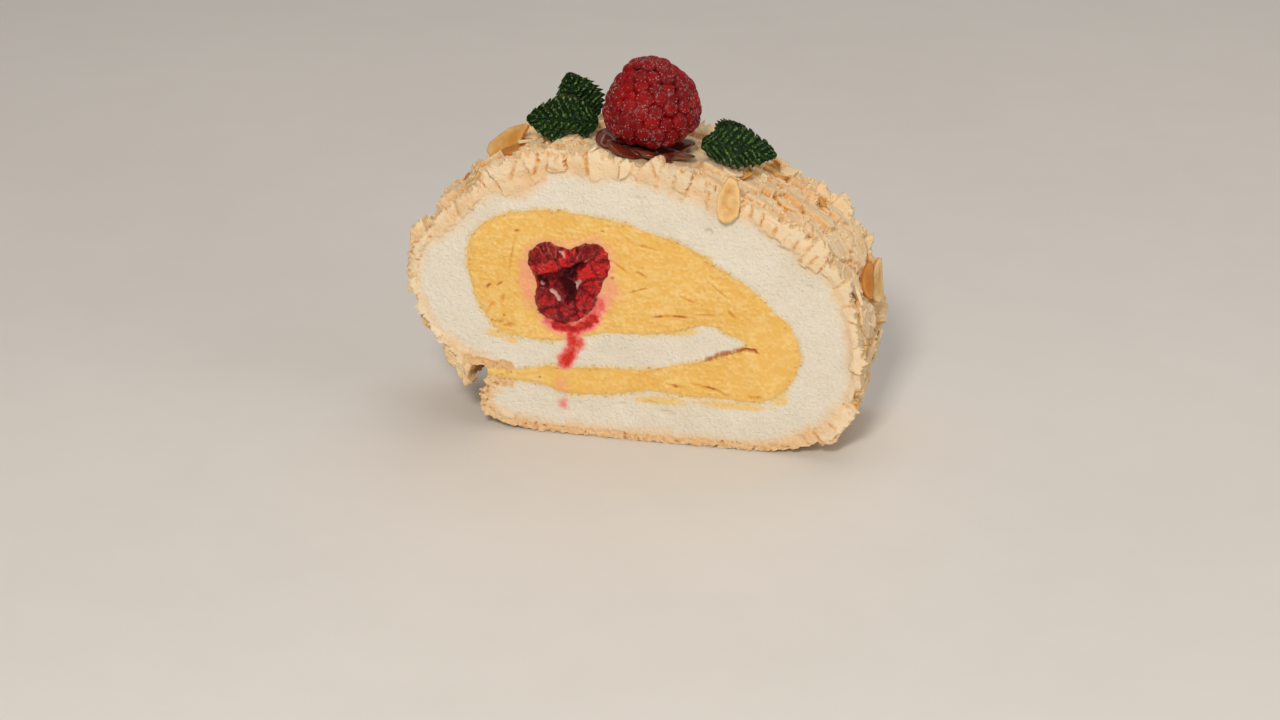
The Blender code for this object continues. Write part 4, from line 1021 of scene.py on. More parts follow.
def meringue_sheet(finish, plans):
    """The rolled sheet as one closed skin: broken crust outside, open crumb on both cuts."""
    outside = smooth_path(SHEET_OUTSIDE, CRUST_STEP)
    outside[:, 1] = np.maximum(outside[:, 1], 0)
    inside = cream_edge()
    along = arc_lengths(outside)
    normals = -left_normals(outside)
    widths = band_widths(outside)
    columns = len(outside)
    depths = np.linspace(FRONT, BACK, CRUST_ROWS + 1)
    y, s = (grid.ravel() for grid in np.meshgrid(depths, along, indexing="ij"))
    x = np.tile(outside[:, 0], CRUST_ROWS + 1)
    z = np.tile(outside[:, 1], CRUST_ROWS + 1)
    height, crack, tone, rim = broken_crust(s, y)
    fade = crust_fade(s, along[-1], x, y, z)
    out = height * fade
    crack = crack * (0.25 + 0.75 * fade)
    laid_flakes(s, y, out, crack, tone, plans)
    rise = rim_rise(s, y, x, z, along[-1])
    breaks, own = slab_breaks(along[-1])
    slab = slab_numbers(breaks, s)
    raised = rise > out
    tone = np.where(raised, own[slab, 4] * 0.7, tone)
    crack = np.where(raised, 0.06, crack)
    out = np.maximum(out, rise)
    fray = ripples(s, y, 0.9 * MM, 71.0, 4) * EDGE_FRAY
    by_edge = falls(from_cut(y), 0.3 * MM, 1.8 * MM)
    by_slit = falls(np.minimum(s, along[-1] - s), 3 * MM, 8 * MM) * 0.45
    out = out + np.maximum(fray, -0.2 * MM) * np.maximum(by_edge, by_slit) * ramp(z, 1.5 * MM, 4 * MM)
    worn = ramp(s, *HEEL_WORN[:2]) * falls(s, *HEEL_WORN[2:])
    out = out - worn * (HEEL_WEAR + ripples(s, y, 2.0 * MM, 88.0, 3) * 0.5 * MM)
    low = falls(z, 0, BASE_FADE) * falls(-z, 0, 1)
    out = out - low * np.abs(ripples(s, y, 1.6 * MM, 30.0, 3)) * 0.7 * MM
    nx, nz = np.tile(normals[:, 0], CRUST_ROWS + 1), np.tile(normals[:, 1], CRUST_ROWS + 1)
    skin = np.column_stack([x + nx * out, y, np.maximum(0, z + nz * out)])
    zeros = np.zeros(len(skin))
    attributes = {
        "crust": zeros + 1, "crack": crack, "tone": tone, "rim": rim, "seep": zeros, "juice": zeros,
        "pore": zeros, "toast": ramp(ripples(s, y, 1.3 * MM, 61.0, 3), 0.5, 0.9) * (0.25 + 0.5 * low),
    }
    points = [skin]
    count = len(skin)
    grid = np.arange(count).reshape(CRUST_ROWS + 1, columns)
    faces = grid_quads(grid).tolist()
    collected = {key: [values] for key, values in attributes.items()}
    inner_rims = []
    for row, face in ((0, FRONT), (CRUST_ROWS, BACK)):
        rim_points = untangled(skin[grid[row]][:, [0, 2]], outside)
        skin[grid[row], 0], skin[grid[row], 2] = rim_points.T
        flat, triangles = filled_face([np.vstack([rim_points, inside])], CRUMB_PITCH, SEED + row)
        stands, marks = crumb_face(
            flat[:, 0], flat[:, 1], face, outside, inside, (along, widths), face_marks(face)
        )
        way = -1 if face < 0 else 1
        placed = np.column_stack([flat[:, 0], face + way * stands, flat[:, 1]])
        skin[grid[row], 1] = placed[:columns, 1]
        for key in ("crack", "toast"):
            collected[key][0][grid[row]] = marks[key][:columns]
        numbers = np.concatenate([grid[row], np.arange(len(flat) - columns) + count])
        inner_rims.append(numbers[columns:columns + len(inside)])
        points.append(placed[columns:])
        for key, values in marks.items():
            collected[key].append(values[columns:])
        count += len(flat) - columns
        faces.extend(numbers[triangles].tolist())
    # The skin next to each cut follows the rim so that no step shows.
    for step, share in ((1, 0.5), (2, 0.2)):
        skin[grid[step], 1] += (skin[grid[0], 1] - FRONT) * share
        skin[grid[CRUST_ROWS - step], 1] += (skin[grid[CRUST_ROWS], 1] - BACK) * share
    points[0] = skin
    near, far = inner_rims
    for i in range(len(near) - 1):
        faces.append([near[i], near[i + 1], far[i + 1], far[i]])
    first, last = grid[:, 0], grid[:, -1]
    faces.append(list(last) + [far[0], near[0]])
    faces.append(list(first) + [far[-1], near[-1]])
    attributes = {key: np.concatenate(values) for key, values in collected.items()}
    made = mesh_object("meringue_sheet", np.vstack(points), faces, finish, **attributes)
    return sharpened(turned_outwards(made), CREASE_ANGLE)


def flake_outline(length, width, sides, raggedness, seed, point=0.0, jag=0.045):
    """The ragged outline of a flake: places across and along it."""
    edge = random.Random(seed + 1)
    corners = []
    for i in range(sides):
        angle = 2 * math.pi * i / sides + draw_turn(seed)
        reach = 1 + raggedness * edge.uniform(-1, 1)
        narrow = 1 - point * (1 + math.sin(angle)) / 2
        across, rise = math.cos(angle) * width / 2 * reach * narrow, math.sin(angle) * length / 2 * reach
        corners.append((across, rise))
    outline = []
    steps = max(3, round(EDGE_STEPS * FLAKE_SIDES / sides))
    for (u0, v0), (u1, v1) in zip(corners, corners[1:] + corners[:1]):
        for k in range(steps):
            t = k / steps
            u, v = u0 + (u1 - u0) * t, v0 + (v1 - v0) * t
            bite = 1 + jag * noise.fractal(Vector((u, v, seed)) / (1.1 * MM), 0.7, 2.0, 3)
            outline.append((u * bite, v * bite))
    return outline


def flake(centre, facing, length, width, thickness, sides, raggedness, seed,
          point=0.0, jag=0.045, curl=0.0, lean=None):
    """A thin broken plate: ragged outline, crisp rim, slightly bumpy. Points, faces and rim share."""
    facing = Vector(facing).normalized()
    upward = Vector((0.15, 0.1, 1)) if abs(facing.z) < 0.8 else Vector((1, 0.3, 0))
    upward = Vector(lean) if lean else upward
    side = upward.cross(facing).normalized()
    rise = facing.cross(side)
    outline = flake_outline(length, width, sides, raggedness, seed, point, jag)
    points, faces, rims = [], [], []
    n = len(outline)
    for level in (-1, 1):
        for share, full in FLAKE_RINGS:
            for u, v in outline:
                u, v = u * share, v * share
                bump = noise.fractal(Vector((u, v, seed + level)) / (1.6 * MM), 0.8, 2.0, 3) * 0.07 * MM
                bend = curl * ((v / length) ** 2 * 4 - 0.5) * MM
                lift = level * thickness / 2 * full + bump * (share < 0.99) + bend
                points.append(Vector(centre) + side * u + rise * v + facing * lift)
                rims.append(share ** 3)
        points.append(Vector(centre) + facing * (level * thickness / 2 - curl * 0.5 * MM))
        rims.append(0.0)
    block = n * len(FLAKE_RINGS) + 1
    for level in (0, 1):
        hub = (level + 1) * block - 1
        side_faces = tube(len(FLAKE_RINGS), n, level * block) + cap(range(hub - n, hub), hub)
        faces.extend(side_faces if level else [face[::-1] for face in side_faces])
    faces.extend(wall(range(n), range(block, block + n)))
    return points, faces, rims


def lump(outline, front, back, seed):
    """A ragged bit of crust with this X, Z outline between two depths. Points, faces, rim share."""
    path = np.array(outline + outline[:1]) * MM
    path = evenly_spaced(path, 0.3 * MM)[:-1]
    middle = path.mean(axis=0)
    n = len(path)
    points, rims = [], []
    for depth, share in LUMP_RINGS:
        for x, z in path:
            y = front + (back - front) * depth
            place = Vector((x, y, z))
            bite = 1 + 0.20 * noise.fractal(place / (1.0 * MM) + Vector((seed, 0, 0)), 0.8, 2.0, 4)
            swell = noise.noise(Vector((x / 9, y, z / 9)) / (2.6 * MM))
            bite += 0.30 * swell * ramp(abs(y - front), 1 * MM, 3 * MM)
            u, v = (x - middle[0]) * share * bite, (z - middle[1]) * share * bite
            dent = noise.fractal(Vector((u, v, seed * MM)) / (1.3 * MM), 0.8, 2.0, 4)
            points.append(Vector((middle[0] + u, y + dent * 0.6 * MM * (depth < 0.1), middle[1] + v)))
            rims.append(float(np.clip(0.3 + dent * 1.2, 0, 1)))
    faces = tube(len(LUMP_RINGS), n)
    for level, y in ((0, front), (len(LUMP_RINGS) - 1, back)):
        faces.extend(cap(range(level * n, level * n + n), len(points)))
        points.append(Vector((middle[0], y, middle[1])))
        rims.append(0.3)
    return points, faces, rims


def draw_turn(seed):
    """How far a flake is turned in its own plane, in radians."""
    return random.Random(seed).uniform(-0.5, 0.5)


def flake_plans():
    """Flakes laid flat in the crust, and the free ones, as the source strews them."""
    path = smooth_path(SHEET_OUTSIDE, FLAKE_PATH_STEP)
    along = arc_lengths(path)
    normals = -left_normals(path)
    last = len(path) - FLAKE_LAST_STEP
    draw = random.Random(SEED)
    laid, free = [], []
    for count, spot in enumerate(range(FLAKE_FIRST_STEP, last, FLAKE_EVERY)):
        for lane in range(FLAKE_LANES):
            index = min(last, spot + draw.randint(-2, 2))
            across = (lane + 0.5 + draw.uniform(-0.28, 0.28)) / FLAKE_LANES
            tilt = Vector([draw.uniform(-most, most) for most in FLAKE_TILT])
            length = draw.uniform(*FLAKE_LENGTH)
            width = draw.uniform(*FLAKE_WIDTH)
            lift = draw.uniform(*FLAKE_LIFT)
            x, z = path[index]
            y = FRONT + SLICE_DEPTH * across
            reach = math.hypot(x - ROSETTE_CENTRE[0], y - ROSETTE_CENTRE[1])
            if z > TOP_LEVEL and reach < FOOTPRINT_RADIUS + FOOTPRINT_MARGIN:
                continue
            if z < FLAKE_LOWEST:
                continue
            y = min(max(y, FRONT + width / 2), BACK - width / 2)
            outward = Vector((normals[index][0], 0, normals[index][1]))
            seed = SEED + 31 * count + lane
            if (count + lane) % FREE_EVERY == 0:
                centre = Vector((x, y, z)) + outward * (lift + FREE_LIFT)
                size = (length * FREE_SIZE, width * FREE_SIZE, FREE_THICKNESS)
                free.append((centre, outward + tilt * 0.8, *size, FLAKE_SIDES, FLAKE_RAGGEDNESS, seed))
                continue
            ahead = path[index + 1] - path[index - 1]
            tangent = Vector((ahead[0], 0, ahead[1])).normalized()
            facing = (outward + tilt * LAID_TILT).normalized()
            size = length * LAID_SIZE, width * LAID_SIZE
            outline = flake_outline(*size, FLAKE_SIDES, LAID_RAGGEDNESS, seed)
            c, s = math.cos(draw_turn(seed)), math.sin(draw_turn(seed))
            spun = [(v * c - u * s, v * s + u * c) for u, v in outline]
            slope_s = -facing.dot(tangent) / facing.dot(outward)
            slope_y = -facing.y / facing.dot(outward)
            laid.append((along[index], y, lift + FLAKE_THICKNESS / 2, slope_s, slope_y, np.array(spun)))
    return laid, free


def gathered(name, bodies, finish, blank=()):
    """One object from several bodies, each with points, faces, rim shares and its own numbers."""
    points, faces, rims = [], [], []
    own = {key: [] for key in bodies[0][3]}
    for body_points, body_faces, body_rims, numbers in bodies:
        start = len(points)
        points.extend(body_points)
        faces.extend([[i + start for i in face] for face in body_faces])
        rims.extend(body_rims)
        for key, value in numbers.items():
            own[key].extend([value] * len(body_points))
    zeros = np.zeros(len(points))
    attributes = {**{key: zeros for key in blank}, "rim": rims, **own}
    return turned_outwards(mesh_object(name, points, faces, finish, **attributes))


CRUMB_KEYS = ("seep", "juice", "pore")


def crust_flakes(finish, plans):
    draw = random.Random(SEED + 11)
    bodies = []
    for plan in plans:
        own = {"crust": 1.0, "tone": draw.random(), "crack": draw.uniform(0, 0.08), "toast": 0.0}
        bodies.append((*flake(*plan, curl=draw.uniform(-0.3, 0.4)), own))
    own = {"crust": 1.0, "tone": 0.6, "toast": 0.0}
    for number, (name, outline) in enumerate(HANGING_FLAKES.items()):
        if name == "flap":
            for step, (start, end) in enumerate(FLAP_SPANS):
                front, back = FRONT + SLICE_DEPTH * start, FRONT + SLICE_DEPTH * end
                bodies.append((*lump(outline, front, back, SEED + 5 * step), {**own, "crack": 0.07}))
            continue
        for front, back in ((FRONT, FRONT + HANGING_DEPTH), (BACK, BACK - HANGING_DEPTH)):
            bodies.append((*lump(outline, front, back, SEED + number), {**own, "crack": 0.0}))
    return gathered("crust_flakes", bodies, finish, blank=CRUMB_KEYS)


def almond_slices(finish):
    bodies = []
    for number, (centre, facing, length, width, toasting) in enumerate(ALMONDS):
        centre = [value * MM for value in centre]
        shape = (ALMOND_SIDES, ALMOND_RAGGEDNESS, SEED + number, ALMOND_POINT)
        size = length * MM, width * MM, ALMOND_THICKNESS
        made = flake(centre, facing, *size, *shape, jag=0.015, curl=0.7, lean=ALMOND_LEANS.get(number))
        bodies.append((*made, {"tone": toasting}))
    return gathered("almond_slices", bodies, finish)


# Cream and cut berries.

def cream_face(x, z, face, inside, berry, marks):
    """The cut cream: how far each place stands out, and its attributes."""
    layer = 0.0 if face < 0 else 60.0
    spots = np.column_stack([x, z])
    field = layered(x, z, layer)
    edge, _ = nearest(inside, spots)
    round_berry, _ = nearest(berry, spots)
    smooth = np.zeros(len(x))
    for cx, cz, radius in CREAM_SMOOTH:
        reach = np.hypot(x / MM - cx, z / MM - cz)
        smooth = np.maximum(smooth, falls(reach, radius * 0.5, radius * 1.1))
    rough = np.clip(0.72 + 0.6 * field(11, 3.0) - smooth * 0.8, 0.12, 1)
    pulled = ripples(x * 0.75 + z * 0.2, z, 0.62 * MM, 7.0 + layer, 4)
    drag = ripples(x * 0.50 + z * 0.25, z - x * 0.12, 1.6 * MM, 8.0 + layer, 3)
    torn = np.clip(1 - np.abs(ripples(x * 0.7, z, 1.9 * MM, 9.0 + layer, 3)) * 1.8, 0, 1) ** 3
    _, reach, own = cells(x, z, 1.5 * MM, 11.0 + layer)
    pits = falls(reach, 0.06, 0.30) * (own[:, 0] > 0.62)
    _, small, seed = cells(x, z, 0.8 * MM, 19.0 + layer)
    pores = falls(small, 0.08, 0.34) * (seed[:, 1] > 0.70) * ramp(field(5, 20.0), -0.2, 0.25)
    gouge = ellipse_marks(x, z, marks["gouges"]) * np.clip(0.6 + pulled * 0.9, 0, 1)
    fleck = ellipse_marks(x, z, marks["flecks"])
    stands = rough * (pulled * 0.18 + drag * 0.16 - pits * 0.30 - pores * 0.28 - torn * 0.12)
    stands = stands + field(6, 13.0) * 0.28 - gouge * 0.6 + 0.1
    near_berry = falls(round_berry, 0, 1.4 * MM)
    stands = stands * (1 - 0.7 * near_berry) + near_berry * 0.15
    to_edge = falls(edge, 0, 0.8 * MM)
    patchy = ramp(field(5, 29.0), -0.35, 0.35)
    dots = falls(edge, 0.3 * MM, 1.2 * MM) * ramp(field(0.6, 31.0, 2), 0.35, 0.65)
    sparse = ramp(field(0.7, 37.0, 2), 0.78, 0.95) * 0.6
    crack = np.zeros(len(x))
    if face < 0:
        crack = falls(from_tip_crack(spots) + pulled * 0.3 * MM, 0.1 * MM, 0.6 * MM)
    seam = falls(edge, 0, 0.8 * MM)
    stands = (stands - crack * 0.6) * MM * (1 - seam) + seam_height(x, z) * seam
    return stands, {
        "rough": rough,
        # Raised cream is painted lighter and its pits and gouges darker: painted light and shade.
        "lift": np.clip(0.5 + pulled * 0.5 - gouge * 0.5 - pits * 0.35 * rough + drag * 0.5, 0, 1),
        "fleck": np.clip(np.maximum(fleck, dots * (0.2 + 0.6 * patchy)) + sparse + crack, 0, 1),
        # Gouges, torn places and pores are darkened in the colour: painted shade.
        "gouge": np.clip(gouge + torn * rough * 0.30 + pores * 0.4, 0, 1),
        "juice": juice_at(x, z, marks["berry"], marks["juice"]),
        "rind": to_edge,
    }


def berry_section(scale, shift, step):
    """The cut berry's lumpy outline, scaled about its middle and moved."""
    outline = smooth_path(CUT_BERRY_OUTLINE + CUT_BERRY_OUTLINE[:1], step)[:-1]
    middle = np.array(CUT_BERRY_OUTLINE).mean(axis=0) * MM
    lumps = ripples(outline[:, 0], outline[:, 1], 1.7 * MM, 47.0, 3) * 0.06
    away = outline - middle
    return away * (scale * (1 + lumps))[:, None] + middle + np.array(shift) * MM


def cream_body(finish):
    """The filling, with both cut faces and a pocket for each cut berry."""
    inside = cream_edge()
    points, faces, collected = [], [], {}
    count = 0
    rims = []
    for _, face, scale, shift in CUT_BERRIES:
        way = -1 if face < 0 else 1
        berry = berry_section(scale, shift, 0.5 * MM)
        middle = berry.mean(axis=0)
        hole = (berry - middle) * POCKET_SHARE + middle
        flat, triangles = filled_face([inside, hole], CREAM_PITCH, SEED + 5 + way)
        stands, marks = cream_face(flat[:, 0], flat[:, 1], face, inside, hole, face_marks(face))
        placed = np.column_stack([flat[:, 0], face + way * stands, flat[:, 1]])
        deep = placed[len(inside):len(inside) + len(hole)].copy()
        deep[:, 1] = face - way * (CUT_BERRY_DEPTH * scale + POCKET_GAP)
        hub = np.array([[middle[0], deep[0, 1], middle[1]]])
        points.extend([placed, deep, hub])
        for key, values in marks.items():
            ring = values[len(inside):len(inside) + len(hole)]
            collected.setdefault(key, []).extend([values, ring, [0.0]])
        faces.extend((triangles + count).tolist())
        start = count + len(inside)
        floor = count + len(flat)
        bottom = range(floor, floor + len(hole))
        faces.extend(wall(range(start, start + len(hole)), bottom) + cap(bottom, floor + len(hole)))
        rims.append(np.arange(len(inside)) + count)
        count += len(flat) + len(hole) + 1
    faces.extend(wall(*rims))
    attributes = {key: np.concatenate(values) for key, values in collected.items()}
    made = mesh_object("cream_body", np.vstack(points), faces, finish, **attributes)
    return sharpened(turned_outwards(made), CREASE_ANGLE)


def cut_berry(name, face, scale, shift, finish):
    """Half a raspberry with its cut drupelets, radial fibres and ragged hollow."""
    way = -1 if face < 0 else 1
    middle = np.array(CUT_BERRY_OUTLINE).mean(axis=0)
    ring = berry_section(scale, shift, 0.25 * MM)
    flat, triangles = filled_face([ring], BERRY_PITCH, SEED + 9)
    # Back in the millimetres of the front berry, where the drupelets are listed.
    x = (flat[:, 0] / MM - shift[0] - middle[0]) / scale + middle[0]
    z = (flat[:, 1] / MM - shift[1] - middle[1]) / scale + middle[1]
    edge, _ = nearest(ring, flat)
    edge = edge / MM
    warp_x = ripples(x, z, 1.5, 2.0 + way, 3) * 0.55
    warp_z = ripples(x, z, 1.5, 6.0 + way, 3) * 0.55
    best = np.full(len(x), -0.6)
    second = np.full(len(x), -0.7)
    drupelet_tone_and_shade = np.full(len(x), 0.3)
    for cx, cz, radius, stands, tone in CUT_DRUPELETS:
        dx, dz = x + warp_x - cx, z + warp_z - cz
        reach = np.hypot(dx, dz) / radius
        dome = stands * np.sqrt(np.clip(1.25 - reach**2, 0, None)) - 0.35
        wins = dome > best
        second = np.where(wins, best, np.maximum(second, dome))
        best = np.maximum(best, dome)
        # Each drupelet keeps its own tone, darkened towards its edge as painted shade.
        drupelet_tone_and_shade = np.where(wins, tone - 0.35 * ramp(reach, 0.4, 1.0), drupelet_tone_and_shade)
    # Pale fibres run out from the hollow.
    angle = np.arctan2(z - BERRY_HUB[1], x - BERRY_HUB[0])
    rays = np.cos(angle * BERRY_FIBRES + ripples(x, z, 1.6, 11.0, 2) * 3.0)
    upper = ramp(z, 33.5, 37.5)
    fibre = ramp(rays, 0.45, 0.95) * ramp(ripples(x, z, 2.6, 13.0), -0.25, 0.25) * (0.15 + 0.85 * upper)
    # The creases between drupelets are darkened in the colour: painted shade.
    crease = falls(best - second, 0, 0.16)
    hollow = track_marks(x * MM, z * MM, CUT_CAVITY, warp_x * 0.9, 0.45, 1.1)
    pith = track_marks(x * MM, z * MM, PITH, warp_z * 1.1, 0.5, 1.15)
    grain = ripples(x, z, 0.6, 15.0, 3)
    beads = ripples(x, z, 1.1, 18.0, 3)
    _, seeds, _ = cells(x, z, 0.85, 27.0)
    knobs = np.clip(0.45 - seeds, 0, 0.45) * (0.25 + 0.75 * np.maximum(1 - upper, hollow))
    stands = best * 0.9 - crease * 0.22 + fibre * 0.08 * (1 - crease)
    stands = stands + grain * 0.13 + beads * 0.22 + knobs * 0.7
    stands = stands - hollow * CUT_CAVITY_DEPTH + pith * (0.35 + hollow * 0.7)
    rounded = falls(edge, 0, 0.7)
    stands = stands * (1 - rounded) + rounded * (0.05 + beads * 0.15)
    placed = np.column_stack([flat[:, 0], face + way * stands * scale * MM, flat[:, 1]])
    bloom = ramp(ripples(x, z, 0.9, 25.0, 4), 0.05, 0.6)
    attributes = {
        # The flesh is lighter where the surface stands out and darker in the creases: painted light and shade
        # over each drupelet's own tone.
        "flesh": np.clip(drupelet_tone_and_shade + grain * 0.3 + beads * 0.3 + knobs * 0.5, 0, 1) * (1 - 0.5 * crease),
        # The hollow and the creases take the painted shade colour.
        "hollow": np.clip(hollow * 0.85 + crease * 0.25, 0, 1),
        "fibre": fibre * (1 - 0.6 * crease) * (1 - hollow),
        "pith": pith,
        "rimmed": falls(edge + beads * 0.5, 0, 0.8),
        "frosted": bloom * (0.15 + 0.85 * falls(z, 29, 35)) * (1 - hollow),
    }
    points = [placed]
    faces = triangles.tolist()
    n = len(ring)
    centre = ring.mean(axis=0)
    last = np.arange(n)
    count = len(placed)
    for depth, share in CUT_BERRY_RINGS:
        drawn = (ring - centre) * share + centre
        y = face - way * depth * CUT_BERRY_DEPTH * scale
        points.append(np.column_stack([drawn[:, 0], np.full(n, y), drawn[:, 1]]))
        numbers = np.arange(n) + count
        faces.extend(wall(last, numbers))
        last = numbers
        count += n
    points.append(np.array([[centre[0], face - way * CUT_BERRY_DEPTH * scale, centre[1]]]))
    faces.extend(cap(last, count))
    extra = count + 1 - len(placed)
    for key, value in attributes.items():
        attributes[key] = np.concatenate([value, np.full(extra, 0.3 if key == "flesh" else 0.0)])
    return turned_outwards(mesh_object(name, np.vstack(points), faces, finish, **attributes))


# Toppings.

def crust_below(tree, x, y):
    """Height of the meringue's upper side under a place."""
    hit = tree.ray_cast(Vector((x, y, 0.2)), Vector((0, 0, -1)))[0]
    return hit.z if hit else 0.0


def mesh_tree(obj):
    bm = bmesh.new()
    bm.from_mesh(obj.data)
    tree = BVHTree.FromBMesh(bm)
    bm.free()
    return tree


def chocolate_rosette(tree, finish):
    """A low glossy swirl whose folds twist as they rise."""
    cx, cy = ROSETTE_CENTRE
    spokes = ROSETTE_FOLDS * ROSETTE_FOLD_STEPS
    levels = np.array(ROSETTE_RINGS)
    steps = np.linspace(0, len(levels) - 1, ROSETTE_LEVELS)
    shares = np.interp(steps, range(len(levels)), levels[:, 0])
    rises = np.interp(steps, range(len(levels)), levels[:, 1])
    for _ in range(3):
        shares[1:-1] = (shares[:-2] + shares[1:-1] * 2 + shares[2:]) / 4
        rises[1:-1] = (rises[:-2] + rises[1:-1] * 2 + rises[2:]) / 4
    ground = {}
    for i in range(spokes):
        angle = 2 * math.pi * i / spokes
        for k, share in enumerate((0.3, 0.6, 0.9)):
            reach = ROSETTE_RADIUS * share
            ground[i, k] = crust_below(tree, cx + reach * math.cos(angle), cy + reach * math.sin(angle))
    points = []
    for share, rise in zip(shares, rises):
        for i in range(spokes):
            angle = 2 * math.pi * i / spokes
            fold = math.cos(ROSETTE_FOLDS * (angle + ROSETTE_TWIST * rise))
            fold = math.copysign(abs(fold) ** 0.7, fold)
            radius = ROSETTE_RADIUS * share * (1 + ROSETTE_FOLD_REACH * fold)
            x = cx + radius * math.cos(angle)
            y = cy + radius * math.sin(angle)
            level = np.interp(share, (0.3, 0.6, 0.9), [ground[i, k] for k in range(3)])
            drips = noise.noise(Vector((x, y, rise * MM)) / (2.6 * MM)) * 0.25 * MM
            lift = ROSETTE_HEIGHT * rise * (1 + ROSETTE_FOLD_LIFT * fold * (share > 0.5))
            points.append((x, y, level + ROSETTE_GAP + lift + drips * rise))
    faces = tube(len(shares), spokes)
    middle = crust_below(tree, cx, cy) + ROSETTE_GAP
    for ring, rise in ((0, 0.0), (len(shares) - 1, ROSETTE_RINGS[-1][1])):
        faces.extend(cap(range(ring * spokes, (ring + 1) * spokes), len(points)))
        points.append((cx, cy, middle + rise * ROSETTE_HEIGHT))
    return turned_outwards(mesh_object("chocolate_swirl", points, faces, finish))


def leaf_blade(name, tree, finish, base, tip, facing, width, cup, arch):
    """A toothed leaf with a sunken net of veins and quilted flesh between them."""
    base = Vector(base) * MM
    tip = Vector(tip) * MM
    along = tip - base
    facing = Vector(facing).normalized()
    side = along.cross(facing).normalized()
    up = side.cross(along).normalized()
    layer = len(name) + width
    points = {1: [], -1: []}
    veins, quilts, edges = [], [], []
    for row in range(LEAF_ROWS):
        u = row / (LEAF_ROWS - 1)
        spread = math.sin(math.pi * min(1.0, u * 0.96 + 0.03)) ** 0.75 * (1.08 - 0.35 * u)
        for column in range(LEAF_COLUMNS + 1):
            v = 2 * column / LEAF_COLUMNS - 1
            # Each tooth points towards the tip.
            tooth = 1 - (LEAF_RIPPLES * u + 0.35 * (v > 0)) % 1.0
            tooth = 1 + LEAF_TOOTH * (tooth ** 0.7 * 1.5 - 0.9) * abs(v) ** 3
            half = max(0.3 * MM, width / 2 * MM * spread * tooth)
            ripple = LEAF_RIPPLE * math.sin(0.7 * LEAF_RIPPLES * math.pi * u + 1.2 * abs(v))
            phase = u * LEAF_SIDE_VEINS - abs(v) * 2.4 * (1 - 0.3 * u) + 0.25 * (v > 0)
            between = phase - math.floor(phase)
            off = min(between, 1 - between)
            side_vein = 1 - float(ramp(off, 0.04, 0.20))
            midrib = 1 - float(ramp(abs(v), 0.02, 0.08 + 0.04 * (1 - u)))
            warp = noise.noise_vector(Vector((u * 9, v * 4, layer))) * 0.25
            distances, _ = noise.voronoi(Vector((u * 19 + warp.x, v * 7.5 + warp.y, layer)))
            net = 1 - float(ramp(distances[1] - distances[0], 0.02, 0.3))
            vein = max(midrib, side_vein * 0.9, net * 0.55)
            pillow = math.sin(math.pi * between) ** 0.6 * 0.34 + (0.6 - min(0.6, distances[0])) * 0.60
            quilt = pillow * (1 - vein) - vein * 0.22
            height = cup * v * v + arch * math.sin(math.pi * u) + ripple + quilt * 1.3 * (1 - 0.4 * abs(v))
            spot = base + along * u + side * (half * v)
            point = spot + up * (height * MM)
            lowest = crust_below(tree, point.x, point.y) + LEAF_CLEARANCE
            point.z = max(point.z, lowest + quilt * 0.5 * MM)
            thin = 0.3 + 0.7 * (1 - abs(v) ** 6)
            points[1].append(point + up * (LEAF_THICKNESS / 2 * thin))
            points[-1].append(point - up * (LEAF_THICKNESS / 2 * thin))
            veins.append(vein)
            # The quilt makes the pillows lighter and the hollows darker in the colour: painted light and
            # shade.
            quilts.append(min(1, max(0, pillow * 1.5 * (1 - 0.5 * vein))))
            edges.append(abs(v))
    columns = LEAF_COLUMNS + 1
    grid = np.arange(LEAF_ROWS * columns).reshape(LEAF_ROWS, columns)
    quads = grid_quads(grid)
    under = quads[:, ::-1] + grid.size
    border = list(grid[0]) + list(grid[1:, -1]) + list(grid[-1, -2::-1]) + list(grid[-2:0:-1, 0])
    faces = quads.tolist() + under.tolist()
    for a, b in zip(border, border[1:] + border[:1]):
        faces.append([a, b, b + grid.size, a + grid.size])
    attributes = {"vein": veins * 2, "quilt": quilts * 2, "side": edges * 2}
    return turned_outwards(mesh_object(name, points[1] + points[-1], faces, finish, **attributes))


def bead_seats():
    """Places, outward directions and sizes of the whole raspberry's drupelets."""
    profile = np.array([(radius, height) for height, radius in BERRY_PROFILE]) * MM
    inner = profile - np.array([BEAD_RADIUS * 0.80, 0])
    inner[:, 0] = np.maximum(inner[:, 0], 0.2 * MM)
    inner[:, 1] = np.minimum(inner[:, 1], profile[-1][1] - BEAD_RADIUS * 0.85)
    cx, cy = BERRY_CENTRE
    middle = Vector((cx, cy, BERRY_MIDDLE))
    draw = random.Random(SEED + 21)
    seats = []
    for number, (radius, height) in enumerate(evenly_spaced(inner, BEAD_RING_STEP)):
        count = max(1, round(2 * math.pi * radius / BEAD_PITCH))
        for i in range(count):
            angle = 2 * math.pi * (i + 0.5 * (number % 2) + draw.uniform(-0.16, 0.16)) / count
            reach = (radius + draw.uniform(-0.35, 0.1) * MM) if count > 1 else 0
            lift = draw.uniform(-0.5, 0.5) * MM if count > 1 else 0
            place = Vector((cx + reach * math.cos(angle), cy + reach * math.sin(angle), height + lift))
            seats.append((place, (place - middle).normalized(), draw.uniform(0.88, 1.14)))
    return seats


